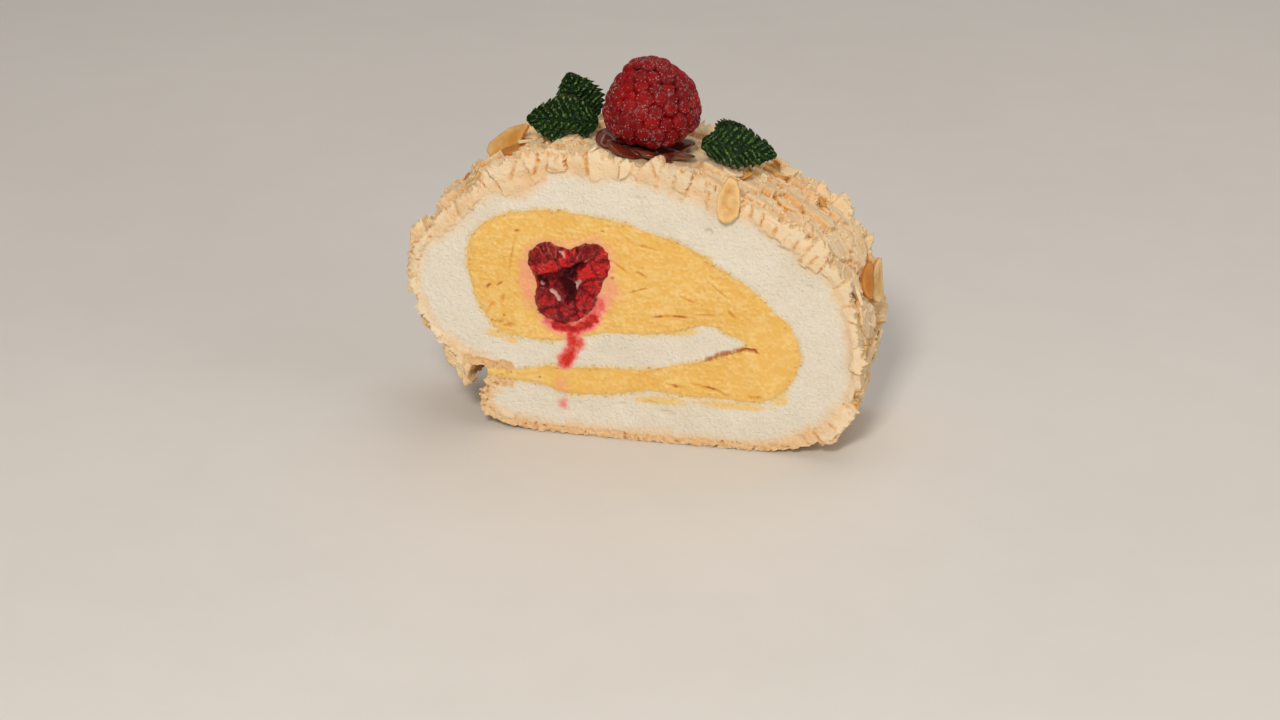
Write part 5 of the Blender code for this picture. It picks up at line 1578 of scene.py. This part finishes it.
def bead_shape(finish):
    """One drupelet of unit radius, its pole up Z, flattened and dimpled on top."""
    points, poles, faces = [(0, 0, BEAD_TOP)], [0.0], []
    rings, sides = BEAD_RINGS, BEAD_SIDES
    for ring in range(1, rings):
        polar = math.pi * ring / rings
        dimple = BEAD_DIMPLE * math.exp(-((polar / 0.30) ** 2))
        for i in range(sides):
            angle = 2 * math.pi * i / sides
            reach = math.sin(polar) ** 0.9
            high = math.copysign(abs(math.cos(polar)) ** 1.15, math.cos(polar)) * BEAD_HALF_HEIGHT
            points.append((reach * math.cos(angle), reach * math.sin(angle), high - dimple))
            poles.append(polar / math.pi)
    points.append((0, 0, -BEAD_HALF_HEIGHT))
    poles.append(1.0)
    for i in range(sides):
        j = (i + 1) % sides
        faces.append([0, 1 + i, 1 + j])
        for ring in range(rings - 2):
            a, b = 1 + ring * sides + i, 1 + ring * sides + j
            faces.append([a, a + sides, b + sides, b])
        last = 1 + (rings - 2) * sides
        faces.append([last + i, len(points) - 1, last + j])
    return turned_outwards(mesh_object("bead_shape", points, faces, finish, pole=poles))


def berry_core(finish):
    """The flesh under the drupelets, closed below. It takes the painted shade colour all over, as it shows
    only in the gaps between them.
    """
    cx, cy = BERRY_CENTRE
    points = []
    for height, radius in BERRY_PROFILE:
        radius = max(0.3, radius - CORE_INSET) * MM
        for i in range(CORE_SIDES):
            angle = 2 * math.pi * i / CORE_SIDES
            across, along = radius * math.cos(angle), radius * math.sin(angle)
            points.append((cx + across, cy + along, min(height, CORE_TOP) * MM))
    faces = tube(len(BERRY_PROFILE), CORE_SIDES)
    faces.append(list(range(CORE_SIDES)))
    faces.append(list(range(len(points) - CORE_SIDES, len(points))))
    # Pole 1 gives the whole core the painted shade colour.
    flat = np.ones(len(points))
    return turned_outwards(mesh_object("raspberry_core", points, faces, finish, pole=flat, tone=flat * 0.3))


# Node trees.

class Nodes:
    """A node tree and short ways to add to it. Where a way takes a value, that is a number, a colour,
    another node's output or, in a material, the name of an attribute."""

    def __init__(self, tree, inputs=(), outputs=()):
        self.tree = tree
        for way, sockets in (("INPUT", inputs), ("OUTPUT", outputs)):
            for name, kind, *value in sockets:
                made = tree.interface.new_socket(name, in_out=way, socket_type="NodeSocket" + kind)
                if value:
                    made.default_value = value[0]
        self.given = self.add("NodeGroupInput").outputs if inputs else None

    def feed(self, socket, value):
        """Gives a socket its value."""
        if isinstance(value, str) and socket.type != "STRING":
            value = self.add("ShaderNodeAttribute", attribute_name=value).outputs["Fac"]
        if isinstance(value, bpy.types.NodeSocket):
            self.tree.links.new(value, socket)
        elif socket.type == "RGBA":
            socket.default_value = (*value, 1)
        else:
            socket.default_value = value

    def add(self, kind, inputs=None, **settings):
        """A new node, with inputs by socket name or number."""
        made = self.tree.nodes.new(kind)
        for key, value in settings.items():
            setattr(made, key, value)
        for key, value in (inputs or {}).items():
            self.feed(made.inputs[key], value)
        return made

    def out(self, kind, inputs=None, **settings):
        """The first output of a new node."""
        return self.add(kind, inputs, **settings).outputs[0]

    def give(self, **results):
        """Ends the group with these results."""
        ends = self.add("NodeGroupOutput").inputs
        for key, value in results.items():
            self.feed(ends[key], value)
        return self.tree

    def math(self, operation, a, b, clamp=False):
        return self.out("ShaderNodeMath", {0: a, 1: b}, operation=operation, use_clamp=clamp)

    def times(self, a, b, clamp=False):
        return self.math("MULTIPLY", a, b, clamp)

    def plus(self, a, b):
        return self.math("ADD", a, b)

    def remap(self, value, low, high, to_low=0.0, to_high=1.0):
        return self.out("ShaderNodeMapRange", {
            "Value": value, "From Min": low, "From Max": high, "To Min": to_low, "To Max": to_high})

    def over(self, share, under, top):
        """The top colour laid over the other by this share."""
        return self.add("ShaderNodeMix", {0: share, 6: under, 7: top}, data_type="RGBA").outputs[2]

    def place(self):
        return self.add("ShaderNodeTexCoord").outputs["Object"]

    def noise(self, scale, detail=3.0, roughness=0.55):
        return self.out("ShaderNodeTexNoise", {
            "Vector": self.place(), "Scale": scale, "Detail": detail, "Roughness": roughness})

    def patches(self, scale, detail, low, high, least=0.0, most=1.0):
        """Noise between two levels, as values from least to most."""
        return self.remap(self.noise(scale, detail), low, high, least, most)

    def random(self, low, high, step, kind="FLOAT"):
        """A random value for each point. Its seed is some steps past the tree's own."""
        seed = self.plus(self.given["Seed"], float(step))
        made = self.add("FunctionNodeRandomValue", {"Seed": seed}, data_type=kind)
        sockets = [socket for socket in made.inputs if socket.enabled]
        self.feed(sockets[0], low)
        self.feed(sockets[1], high)
        return next(socket for socket in made.outputs if socket.enabled)

    def named(self, name, kind="FLOAT"):
        return self.out("GeometryNodeInputNamedAttribute", {"Name": name}, data_type=kind)

    def spun(self, rotation, low, high, step):
        """A rotation with a random turn between two sets of angles added to it."""
        turn = self.out("FunctionNodeEulerToRotation", {0: self.random(low, high, step, "FLOAT_VECTOR")})
        return self.out("FunctionNodeRotateRotation", {"Rotation": rotation, "Rotate By": turn},
                        rotation_space="LOCAL")

    def real(self, instances):
        """Ends a geometry tree with its instances as one mesh, each with its own tone."""
        toned = self.out("GeometryNodeStoreNamedAttribute",
                         {"Geometry": instances, "Name": "tone", "Value": self.random(0.0, 1.0, 4)},
                         data_type="FLOAT", domain="INSTANCE")
        mesh = self.out("GeometryNodeRealizeInstances", {0: toned})
        return self.give(Geometry=self.out("GeometryNodeSetMaterial", {
            "Geometry": mesh, "Material": self.given["Finish"]}))


def scatter_tree():
    """Loose bits strewn over a surface, thicker where its own attribute strewn is high."""
    nodes = Nodes(
        bpy.data.node_groups.new("strewn_bits", "GeometryNodeTree"),
        [("Surface", "Geometry"), ("Shapes", "Collection"), ("Spacing", "Float", 1.0 * MM),
         ("Density", "Float", 1.0), ("Smallest", "Float", 0.5), ("Largest", "Float", 1.0),
         ("Tilt", "Float", 0.5), ("Lift", "Float", 0.0), ("Seed", "Int", SEED), ("Finish", "Material")],
        [("Geometry", "Geometry")],
    )
    given = nodes.given
    spots = nodes.add("GeometryNodeDistributePointsOnFaces", {
        "Mesh": given["Surface"], "Distance Min": given["Spacing"], "Density Max": given["Density"],
        "Density Factor": nodes.named("strewn"), "Seed": given["Seed"]}, distribute_method="POISSON").outputs
    tilt = given["Tilt"]
    tilt_back = nodes.times(tilt, -1.0)
    least = nodes.out("ShaderNodeCombineXYZ", {0: tilt_back, 1: tilt_back, 2: 0.0})
    most = nodes.out("ShaderNodeCombineXYZ", {0: tilt, 1: tilt, 2: 2 * math.pi})
    shapes = nodes.out("GeometryNodeCollectionInfo", {
        "Collection": given["Shapes"], "Separate Children": True, "Reset Children": True})
    turned = nodes.spun(spots["Rotation"], least, most, 1)
    placed = nodes.out("GeometryNodeInstanceOnPoints", {
        "Points": spots["Points"], "Instance": shapes, "Pick Instance": True,
        "Instance Index": nodes.random(0, 31, 2, "INT"), "Rotation": turned,
        "Scale": nodes.random(given["Smallest"], given["Largest"], 3)})
    lift = nodes.out("ShaderNodeCombineXYZ", {0: 0.0, 1: 0.0, 2: given["Lift"]})
    return nodes.real(nodes.out("GeometryNodeTranslateInstances", {
        "Instances": placed, "Translation": lift, "Local Space": True}))


def bead_tree():
    """A drupelet on each seat, turned along the seat's own outward direction."""
    nodes = Nodes(
        bpy.data.node_groups.new("seated_drupelets", "GeometryNodeTree"),
        [("Seats", "Geometry"), ("Drupelet", "Object"), ("Radius", "Float", BEAD_RADIUS),
         ("Seed", "Int", SEED), ("Finish", "Material")],
        [("Geometry", "Geometry")],
    )
    given = nodes.given
    outward = nodes.named("outward", "FLOAT_VECTOR")
    aligned = nodes.out("FunctionNodeAlignRotationToVector", {"Vector": outward}, axis="Z")
    shape = nodes.add("GeometryNodeObjectInfo", {"Object": given["Drupelet"]}).outputs["Geometry"]
    size = nodes.times(nodes.named("size"), given["Radius"])
    return nodes.real(nodes.out("GeometryNodeInstanceOnPoints", {
        "Points": given["Seats"], "Instance": shape, "Scale": size,
        "Rotation": nodes.spun(aligned, (0, 0, 0), (0.15, 0.15, 2 * math.pi), 0)}))


def grown(name, base, tree, **values):
    """The plain mesh that a tree makes from a base mesh. Values are set by the tree's socket names."""
    obj = placed_object(name, base)
    modifier = obj.modifiers.new(name, "NODES")
    modifier.node_group = tree
    named = {item.name: item.identifier for item in tree.interface.items_tree if item.in_out == "INPUT"}
    for key, value in values.items():
        modifier[named[key]] = value
    bpy.context.view_layer.update()
    graph = bpy.context.evaluated_depsgraph_get()
    mesh = bpy.data.meshes.new_from_object(
        obj.evaluated_get(graph), preserve_all_data_layers=True, depsgraph=graph
    )
    obj.modifiers.clear()
    obj.data = mesh
    mesh.name = name
    mesh.shade_smooth()
    return obj


def strewn(name, surface, share, shapes, finish, strewing):
    """Shapes strewn over a copy of the surface, as thickly as share says at each of its points."""
    painted(surface, strewn=share)
    kept = bpy.data.collections.new(name + "_shapes")
    for obj in shapes:
        bpy.context.scene.collection.objects.unlink(obj)
        kept.objects.link(obj)
    tree = bpy.data.node_groups.get("strewn_bits") or scatter_tree()
    made = grown(name, surface.data.copy(), tree, Shapes=kept, Finish=finish, **strewing)
    for obj in shapes:
        bpy.data.objects.remove(obj)
    bpy.data.collections.remove(kept)
    surface.data.attributes.remove(surface.data.attributes["strewn"])
    return made


def painted(obj, **attributes):
    """Float attributes on the object's points."""
    for key, values in attributes.items():
        layer = obj.data.attributes.new(key, "FLOAT", "POINT")
        values = np.broadcast_to(np.asarray(values, np.float32), len(obj.data.vertices))
        layer.data.foreach_set("value", np.ascontiguousarray(values))
    return obj


def coordinates(obj):
    co = np.empty(len(obj.data.vertices) * 3, np.float32)
    obj.data.vertices.foreach_get("co", co)
    return co.reshape(-1, 3)


def values_of(obj, key):
    out = np.empty(len(obj.data.vertices), np.float32)
    obj.data.attributes[key].data.foreach_get("value", out)
    return out


def lumpy_ball(name, subdivisions, radius, finish, bite):
    """A small ball, its points moved out or in by the share that bite gives for each."""
    bm = bmesh.new()
    bmesh.ops.create_icosphere(bm, subdivisions=subdivisions, radius=radius)
    for vert in bm.verts:
        vert.co *= 1 + bite(vert.co)
    mesh = bpy.data.meshes.new(name)
    bm.to_mesh(mesh)
    bm.free()
    mesh.materials.append(finish)
    return placed_object(name, mesh)


def crust_bits(sheet, finish):
    """Small shards and crumbs of crust strewn over the crusted side."""
    x, y, z = coordinates(sheet).T
    reach = np.hypot(x - ROSETTE_CENTRE[0], y - ROSETTE_CENTRE[1])
    clear = np.where((z > TOP_LEVEL) & (reach < FOOTPRINT_RADIUS), 0, 1)
    high = ramp(z, 2 * MM, 7 * MM)
    inside = (y > FRONT + 0.3 * MM) & (y < BACK - 0.3 * MM)
    crusted = np.where(values_of(sheet, "crust") > 0.95, 1, 0) * clear
    plain = {"crust": 1.0, "crack": 0.0, "toast": 0.0, "seep": 0.0, "juice": 0.0, "pore": 0.0}
    shards = []
    for number in range(SHARD_KINDS):
        size = (2.2 + 0.35 * number) * MM, (1.5 + 0.22 * ((number * 2) % 5)) * MM, SHARD_THICKNESS
        made = flake((0, 0, 0), (0, 0.001, 1), *size, 6, 0.3, SEED + 300 + number, jag=0.05, curl=0.2)
        shard = turned_outwards(mesh_object(f"shard_{number}", *made[:2], finish))
        shards.append(painted(shard, rim=made[2], **plain))
    strewn_shards = strewn("crust_shards", sheet, crusted * high * inside, shards, finish, SHARD_STREWING)
    crumbs = []
    for number in range(CRUMB_KINDS):
        away = Vector((number * 5.3, 0, 0))
        crumb = lumpy_ball(f"crumb_{number}", 2, CRUMB_RADIUS, finish,
                           lambda spot: 0.4 * noise.fractal(spot / (0.45 * MM) + away, 0.8, 2.0, 3))
        crumbs.append(painted(crumb, rim=0.5, **plain))
    low = 1 - 0.75 * ramp(z, 3 * MM, 9 * MM)
    off_floor = np.where(z > CRUMB_LOWEST, 1, 0)
    share = crusted * inside * off_floor * (0.3 + 0.7 * low)
    return [strewn_shards, strewn("crust_crumbs", sheet, share, crumbs, finish, CRUMB_STREWING)]


def whole_raspberry(finish, frost_finish):
    """The raspberry on top: seated drupelets over a core, and frost strewn on them."""
    seats = bead_seats()
    base = bpy.data.meshes.new("seats")
    base.from_pydata([place for place, _, _ in seats], [], [])
    outward = base.attributes.new("outward", "FLOAT_VECTOR", "POINT")
    outward.data.foreach_set("vector", np.array([way for _, way, _ in seats], np.float32).ravel())
    sizes = base.attributes.new("size", "FLOAT", "POINT")
    sizes.data.foreach_set("value", np.array([size for _, _, size in seats], np.float32))
    bead = bead_shape(finish)
    berry = grown("raspberry_drupelets", base, bead_tree(), Drupelet=bead, Radius=BEAD_RADIUS,
                  Seed=SEED, Finish=finish)
    bpy.data.objects.remove(bead)
    x, y, z = coordinates(berry).T
    pole = values_of(berry, "pole")
    ring = np.exp(-(((pole - FROST_RING[0]) / FROST_RING[1]) ** 2))
    patch = ripples(x + z * 0.6, y + z, 4.5 * MM, 71.0)
    bottom = ramp(z, *FROST_START)
    share = np.clip(ring * (0.55 + 0.9 * patch), 0.02, 1) * np.where(pole < 0.5, 1, 0) * bottom
    grains = []
    for number in range(GRAIN_KINDS):
        away = Vector((number * 3.7, 0, 0))
        grains.append(lumpy_ball(f"grain_{number}", 1, GRAIN_RADIUS, frost_finish,
                                 lambda spot: 0.5 * noise.noise(spot / (0.1 * MM) + away)))
    frost = strewn("frost_crystals", berry, share, grains, frost_finish, FROST_STREWING)
    return [berry, berry_core(finish), frost]


# Materials.

def fine_grain_group():
    """Fine grain and small pits over a surface, as values from 0 to 1."""
    nodes = Nodes(
        bpy.data.node_groups.new("fine_grain", "ShaderNodeTree"),
        [("Grain Scale", "Float", 1500.0), ("Pit Scale", "Float", 900.0), ("Pit Size", "Float", 0.3)],
        [("Grain", "Float"), ("Pits", "Float"), ("Height", "Float")],
    )
    given = nodes.given
    grain = nodes.noise(given["Grain Scale"], 4.0, 0.65)
    reach = nodes.out("ShaderNodeTexVoronoi", {
        "Vector": nodes.place(), "Scale": given["Pit Scale"], "Randomness": 1.0})
    reach = nodes.math("DIVIDE", reach, given["Pit Size"], clamp=True)
    pits = nodes.math("SUBTRACT", 1.0, reach, clamp=True)
    return nodes.give(Grain=grain, Pits=pits, Height=nodes.math("SUBTRACT", grain, nodes.times(pits, 0.5)))


def tone_drift_group():
    """A colour that drifts between two tones in soft patches, with a share of fine mottling."""
    nodes = Nodes(
        bpy.data.node_groups.new("tone_drift", "ShaderNodeTree"),
        [("Tone A", "Color", (1, 1, 1, 1)), ("Tone B", "Color", (0.5, 0.5, 0.5, 1)),
         ("Patch Scale", "Float", 120.0), ("Mottle Scale", "Float", 700.0), ("Bias", "Float", 0.0)],
        [("Colour", "Color"), ("Share", "Float")],
    )
    given = nodes.given
    patch = nodes.times(nodes.noise(given["Patch Scale"], 3.0, 0.6), 0.9)
    mottle = nodes.noise(given["Mottle Scale"], 3.0, 0.6)
    both = nodes.out("ShaderNodeMath", {0: mottle, 1: 0.4, 2: patch}, operation="MULTIPLY_ADD")
    share = nodes.remap(nodes.plus(both, given["Bias"]), 0.45, 0.85)
    return nodes.give(Colour=nodes.over(share, given["Tone A"], given["Tone B"]), Share=share)


def juice_group():
    """Berry juice soaked into a pale surface: pink where thin, red where thick, dark where it stands."""
    nodes = Nodes(
        bpy.data.node_groups.new("juice_stain", "ShaderNodeTree"),
        [("Colour", "Color", (1, 1, 1, 1)), ("Soaked", "Float", 0.0)],
        [("Colour", "Color"), ("Wet", "Float")],
    )
    feather = nodes.remap(nodes.noise(900.0, 4.0, 0.6), 0.2, 0.8, 0.72, 1.22)
    soaked = nodes.times(nodes.given["Soaked"], feather)
    colour = nodes.given["Colour"]
    for low, high, tone in ((0.0, 0.58, JUICE_PINK), (0.48, 1.0, JUICE_RED), (1.0, 1.3, JUICE_DEEP)):
        colour = nodes.over(nodes.remap(soaked, low, high), colour, tone)
    return nodes.give(Colour=colour, Wet=nodes.remap(soaked, 0.5, 0.9))


GRAIN = fine_grain_group()
DRIFT = tone_drift_group()
JUICE_STAIN = juice_group()


class Finish(Nodes):
    """A new material with its shader, constant values set on the shader's own sockets."""

    def __init__(self, name, **fixed):
        self.material = bpy.data.materials.new(name)
        self.material.use_nodes = True
        super().__init__(self.material.node_tree)
        self.shader = self.tree.nodes["Principled BSDF"]
        for key, value in fixed.items():
            self.shader.inputs[key.replace("_", " ")].default_value = value

    def link(self, **values):
        """Values that change over the surface, by the names of the shader's sockets."""
        for key, value in values.items():
            self.tree.links.new(value, self.shader.inputs[key.replace("_", " ")])

    def group(self, group, **values):
        """A shared group's outputs, its values given by socket name."""
        made = self.add("ShaderNodeGroup", node_tree=group)
        for key, value in values.items():
            self.feed(made.inputs[key.replace("_", " ")], value)
        return made.outputs

    def drift(self, tone_a, tone_b, patch, mottle, bias=0.0):
        """A colour that drifts between two tones."""
        return self.group(DRIFT, Tone_A=tone_a, Tone_B=tone_b, Patch_Scale=patch, Mottle_Scale=mottle,
                          Bias=bias)["Colour"]

    def grain(self, scale, pit_scale, pit_size):
        return self.group(GRAIN, Grain_Scale=scale, Pit_Scale=pit_scale, Pit_Size=pit_size)

    def stained(self, colour, dry, wet):
        """Links the colour with juice soaked into it, and how rough it is when dry and when wet."""
        made = self.group(JUICE_STAIN, Colour=colour, Soaked="juice")
        self.link(Base_Color=made["Colour"], Roughness=self.remap(made["Wet"], 0, 1, dry, wet))

    def bump(self, height, strength, distance, sockets=("Normal", "Coat Normal")):
        made = self.out("ShaderNodeBump", {"Height": height, "Strength": strength, "Distance": distance})
        for key in sockets:
            self.tree.links.new(made, self.shader.inputs[key])


def meringue_material():
    look = Finish("baked_meringue", Subsurface_Weight=0.2, Subsurface_Scale=0.0012,
                  Subsurface_Radius=(1.0, 0.75, 0.5), Specular_IOR_Level=0.2)
    crust = look.drift(CRUST_PALE, CRUST_PEACH, 160.0, 900.0, look.remap("tone", 0, 1, -0.22, 0.22))
    crust = look.over(look.times("rim", 0.35), crust, CRUST_RIM)
    sponge = look.drift(SPONGE_WHITE, SPONGE_SHADE, 90.0, 1400.0, -0.12)
    # Painted shade in the crumb's hollows.
    sponge = look.over(look.times("pore", 0.45), sponge, SPONGE_PORE_SHADE)
    colour = look.over("crust", sponge, crust)
    # Cracks turn golden, the deepest brown: partly the crust's colour, partly painted shade in the crevices.
    colour = look.over(look.remap("crack", 0.08, 0.70), colour, CRUST_GOLD_AND_SHADE)
    colour = look.over(look.remap("crack", 0.62, 1.0, 0.0, 0.75), colour, CRUST_BROWN_AND_SHADE)
    colour = look.over(look.times("seep", 0.9), colour, CREAM_LIGHT)
    look.stained(look.over("toast", colour, CRUST_TOAST), 0.8, 0.35)
    look.bump(look.grain(2000.0, 1300.0, 0.4)["Height"], 0.9, 0.0003)
    return look.material


def cream_material():
    look = Finish("yellow_cream", Subsurface_Weight=0.3, Subsurface_Scale=0.0015,
                  Subsurface_Radius=(1.0, 0.6, 0.25), Specular_IOR_Level=0.35)
    # Raised cream is lighter and the gouges deeper yellow: painted light and shade over the cream's own drift
    # of tone.
    colour = look.drift(CREAM_LIGHT, CREAM_YELLOW, 110.0, 1100.0, look.remap("lift", 0.15, 0.85, 0.30, -0.16))
    colour = look.over(look.times("gouge", 0.65), colour, CREAM_HOLLOW_SHADE)
    colour = look.over(look.times("rind", 0.30), colour, CREAM_EDGE)
    look.stained(look.over("fleck", colour, CREAM_FLECK), 0.55, 0.2)
    look.bump(look.times(look.grain(1300.0, 700.0, 0.25)["Height"], "rough"), 0.6, 0.0003)
    return look.material


def cut_berry_material():
    look = Finish("cut_raspberry", Subsurface_Weight=0.1, Subsurface_Scale=0.001,
                  Subsurface_Radius=(1.0, 0.12, 0.08), Coat_Roughness=0.05, Specular_IOR_Level=0.05)
    colour = look.drift(BERRY_RED, BERRY_BRIGHT, 420.0, 800.0, look.remap("flesh", 0, 1, -0.42, 0.38))
    colour = look.over(look.times("fibre", 0.6), colour, BERRY_FIBRE)
    colour = look.over(look.times("frosted", 0.36), colour, BERRY_BLOOM)
    # Painted shade in the hollow and the creases.
    colour = look.over("hollow", colour, BERRY_SHADE)
    broken = look.remap(look.noise(500.0, 4.0, 0.7), 0.45, 0.65, 0.0, 0.6)
    colour = look.over(look.times("rimmed", broken), colour, BERRY_RIM)
    grain = look.grain(1100.0, 800.0, 0.45)
    look.link(Base_Color=look.over(look.times("pith", 0.85), colour, BERRY_PITH),
              Coat_Weight=look.remap("hollow", 0.2, 1.0, 0.75, 0.25),
              Roughness=look.remap(grain["Grain"], 0.3, 0.7, 0.15, 0.45))
    look.bump(grain["Height"], 1.0, 0.0008, ["Normal"])
    look.bump(look.noise(800.0, 2.0), 1.0, 0.0025, ["Coat Normal"])
    return look.material


def berry_skin_material():
    look = Finish("frosted_raspberry_skin", Subsurface_Weight=0.08, Subsurface_Scale=0.001,
                  Subsurface_Radius=(1.0, 0.10, 0.08), Specular_IOR_Level=0.12)
    colour = look.drift(SKIN_RED, SKIN_BRIGHT, 200.0, 900.0, look.remap("tone", 0, 1, -0.25, 0.15))
    # The lower side of each drupelet, deep between its neighbours, takes a painted shade.
    colour = look.over(look.remap("pole", 0.34, 0.50), colour, BERRY_SHADE)
    bent = look.plus("pole", look.patches(900.0, 3.0, 0.3, 0.7, -0.05, 0.05))
    ring = look.times(look.remap(bent, 0.09, 0.15), look.remap(bent, 0.31, 0.20))
    speck = look.remap(look.noise(1500.0, 5.0, 0.85), 0.52, 0.59)
    haze = look.remap(look.noise(150.0, 3.0, 0.6), 0.44, 0.62, 0.08, 1.0)
    frost = look.plus(look.times(ring, speck), look.times(speck, 0.12))
    frost = look.times(frost, haze, clamp=True)
    look.link(Base_Color=look.over(frost, colour, FROST), Roughness=look.remap(frost, 0, 1, 0.36, 0.8))
    look.bump(look.plus(frost, look.noise(2000.0)), 0.9, 0.0003)
    return look.material


def frost_material():
    look = Finish("frost_grains", Roughness=0.35, Subsurface_Weight=0.3, Subsurface_Scale=0.0005)
    look.link(Base_Color=look.over(look.noise(600.0), look.over("tone", FROST_DEEP, FROST_PALE), FROST_MILKY))
    return look.material


def leaf_material():
    look = Finish("mint_leaf_green", Subsurface_Weight=0.04, Subsurface_Scale=0.001,
                  Subsurface_Radius=(0.4, 1.0, 0.2), Specular_IOR_Level=0.22)
    # Pillows are lighter and hollows darker: painted light and shade over the leaf's own mottling.
    colour = look.drift(LEAF_DARK_AND_SHADE, LEAF_GREEN, 160.0, 1200.0, look.remap("quilt", 0, 1, -0.50, 0.30))
    # A painted highlight on the crests of the quilted pillows.
    crest_highlight = look.times(look.remap("quilt", 0.42, 0.85), look.patches(900.0, 3.0, 0.42, 0.58, 0.05, 0.95))
    colour = look.over(crest_highlight, colour, LEAF_CREST_HIGHLIGHT)
    # The sunken veins are darkened: painted shade.
    colour = look.over(look.times("vein", 0.6), colour, LEAF_VEIN_SHADE)
    dry = look.times(look.remap("side", 0.90, 1.0), look.patches(150.0, 3.0, 0.5, 0.65))
    grain = look.grain(2600.0, 1700.0, 0.4)
    look.link(Base_Color=look.over(dry, colour, LEAF_DRY),
              Roughness=look.remap(grain["Grain"], 0.3, 0.7, 0.26, 0.48))
    look.bump(look.plus(look.times("quilt", 1.4), look.times(grain["Height"], 0.5)), 0.8, 0.0004)
    return look.material


def chocolate_material():
    look = Finish("glossy_chocolate", Coat_Weight=0.8, Coat_Roughness=0.05, Specular_IOR_Level=0.25)
    grain = look.grain(500.0, 600.0, 0.1)
    look.link(Base_Color=look.drift(CHOCOLATE, CHOCOLATE_WARM, 220.0, 1200.0),
              Roughness=look.remap(grain["Grain"], 0.3, 0.7, 0.10, 0.28))
    look.bump(grain["Height"], 0.15, 0.0003)
    return look.material


def almond_material():
    look = Finish("toasted_almond", Subsurface_Weight=0.3, Subsurface_Scale=0.0015,
                  Subsurface_Radius=(1.0, 0.5, 0.15), Specular_IOR_Level=0.35)
    colour = look.drift(ALMOND_PALE, ALMOND_GOLD, 180.0, 1300.0, look.remap("tone", 0, 1, -0.3, 0.35))
    heart = look.times(look.remap("rim", 0.62, 0.10), look.patches(320.0, 4.0, 0.38, 0.60, 0.1, 0.8))
    colour = look.over(heart, colour, ALMOND_HEART)
    toasted = look.times(look.remap("tone", 0.55, 1.0), look.patches(260.0, 3.0, 0.35, 0.6, 0.15, 0.85))
    colour = look.over(toasted, colour, ALMOND_BROWN)
    edge = look.times(look.remap("rim", 0.80, 1.0), look.patches(220.0, 3.0, 0.40, 0.60, 0.1, 0.85))
    grain = look.grain(1500.0, 900.0, 0.3)
    look.link(Base_Color=look.over(edge, colour, ALMOND_BROWN),
              Roughness=look.remap(grain["Grain"], 0.3, 0.7, 0.25, 0.5))
    look.bump(grain["Height"], 0.5, 0.0003)
    return look.material


def floor_material():
    look = Finish("pale_floor", Roughness=0.7)
    look.link(Base_Color=look.drift(FLOOR_LIGHT, FLOOR_SHADE, 6.0, 60.0))
    return look.material


# Studio.

def aimed(obj, place, aim):
    """Puts the object at a place and turns it to look at another."""
    obj.location = place
    obj.rotation_euler = (Vector(aim) - Vector(place)).to_track_quat("-Z", "Y").to_euler()
    return obj


def studio():
    """The pale floor, the soft lights and the camera."""
    scene = bpy.context.scene
    corners = [(-1, -1, 0), (1, -1, 0), (1, 1, 0), (-1, 1, 0)]
    mesh = bpy.data.meshes.new("floor")
    mesh.from_pydata([[FLOOR_REACH * value for value in corner] for corner in corners], [], [(0, 1, 2, 3)])
    mesh.materials.append(floor_material())
    placed_object("floor", mesh)
    world = bpy.data.worlds.new("studio")
    world.use_nodes = True
    background = world.node_tree.nodes["Background"].inputs
    background["Color"].default_value = (*WORLD_COLOUR, 1)
    background["Strength"].default_value = WORLD_STRENGTH
    scene.world = world
    for name, (place, size, power, colour) in LIGHTS.items():
        light = bpy.data.lights.new(name, "AREA")
        light.shape = "SQUARE"
        light.size = size
        light.energy = power
        light.color = colour
        aimed(placed_object(name, light), place, LIGHTS_AIM)
    camera = bpy.data.cameras.new("camera")
    camera.lens = CAMERA_LENS
    camera.sensor_width = SENSOR_WIDTH
    scene.camera = aimed(placed_object("camera", camera), CAMERA_PLACE, CAMERA_AIM)
    scene.view_settings.view_transform = "Standard"


def dressed(piece, node_name):
    """The piece rides on the body and stands for its solid, which is hidden."""
    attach(piece, "root")
    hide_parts(node_name)


noise.seed_set(SEED)
studio()

meringue = meringue_material()
berry_cut = cut_berry_material()
leaf_green = leaf_material()
solid_tree = mesh_tree(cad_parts["meringue"])

laid, free = flake_plans()
sheet = meringue_sheet(meringue, laid)
broken = [crust_flakes(meringue, free), *crust_bits(sheet, meringue)]
for piece in [sheet, *broken, almond_slices(almond_material())]:
    dressed(piece, "meringue")
dressed(cream_body(cream_material()), "cream_filling")
for side, face, scale, shift in CUT_BERRIES:
    berry = cut_berry(f"cut_berry_{side}", face, scale, shift, berry_cut)
    dressed(berry, f"raspberry_{side}_cut")
for piece in whole_raspberry(berry_skin_material(), frost_material()):
    dressed(piece, "raspberry_top")
dressed(chocolate_rosette(solid_tree, chocolate_material()), "chocolate_rosette")
for place, shape in LEAVES.items():
    blade = leaf_blade(f"mint_blade_{place}", solid_tree, leaf_green, *shape)
    dressed(blade, f"mint_leaf_{place}")
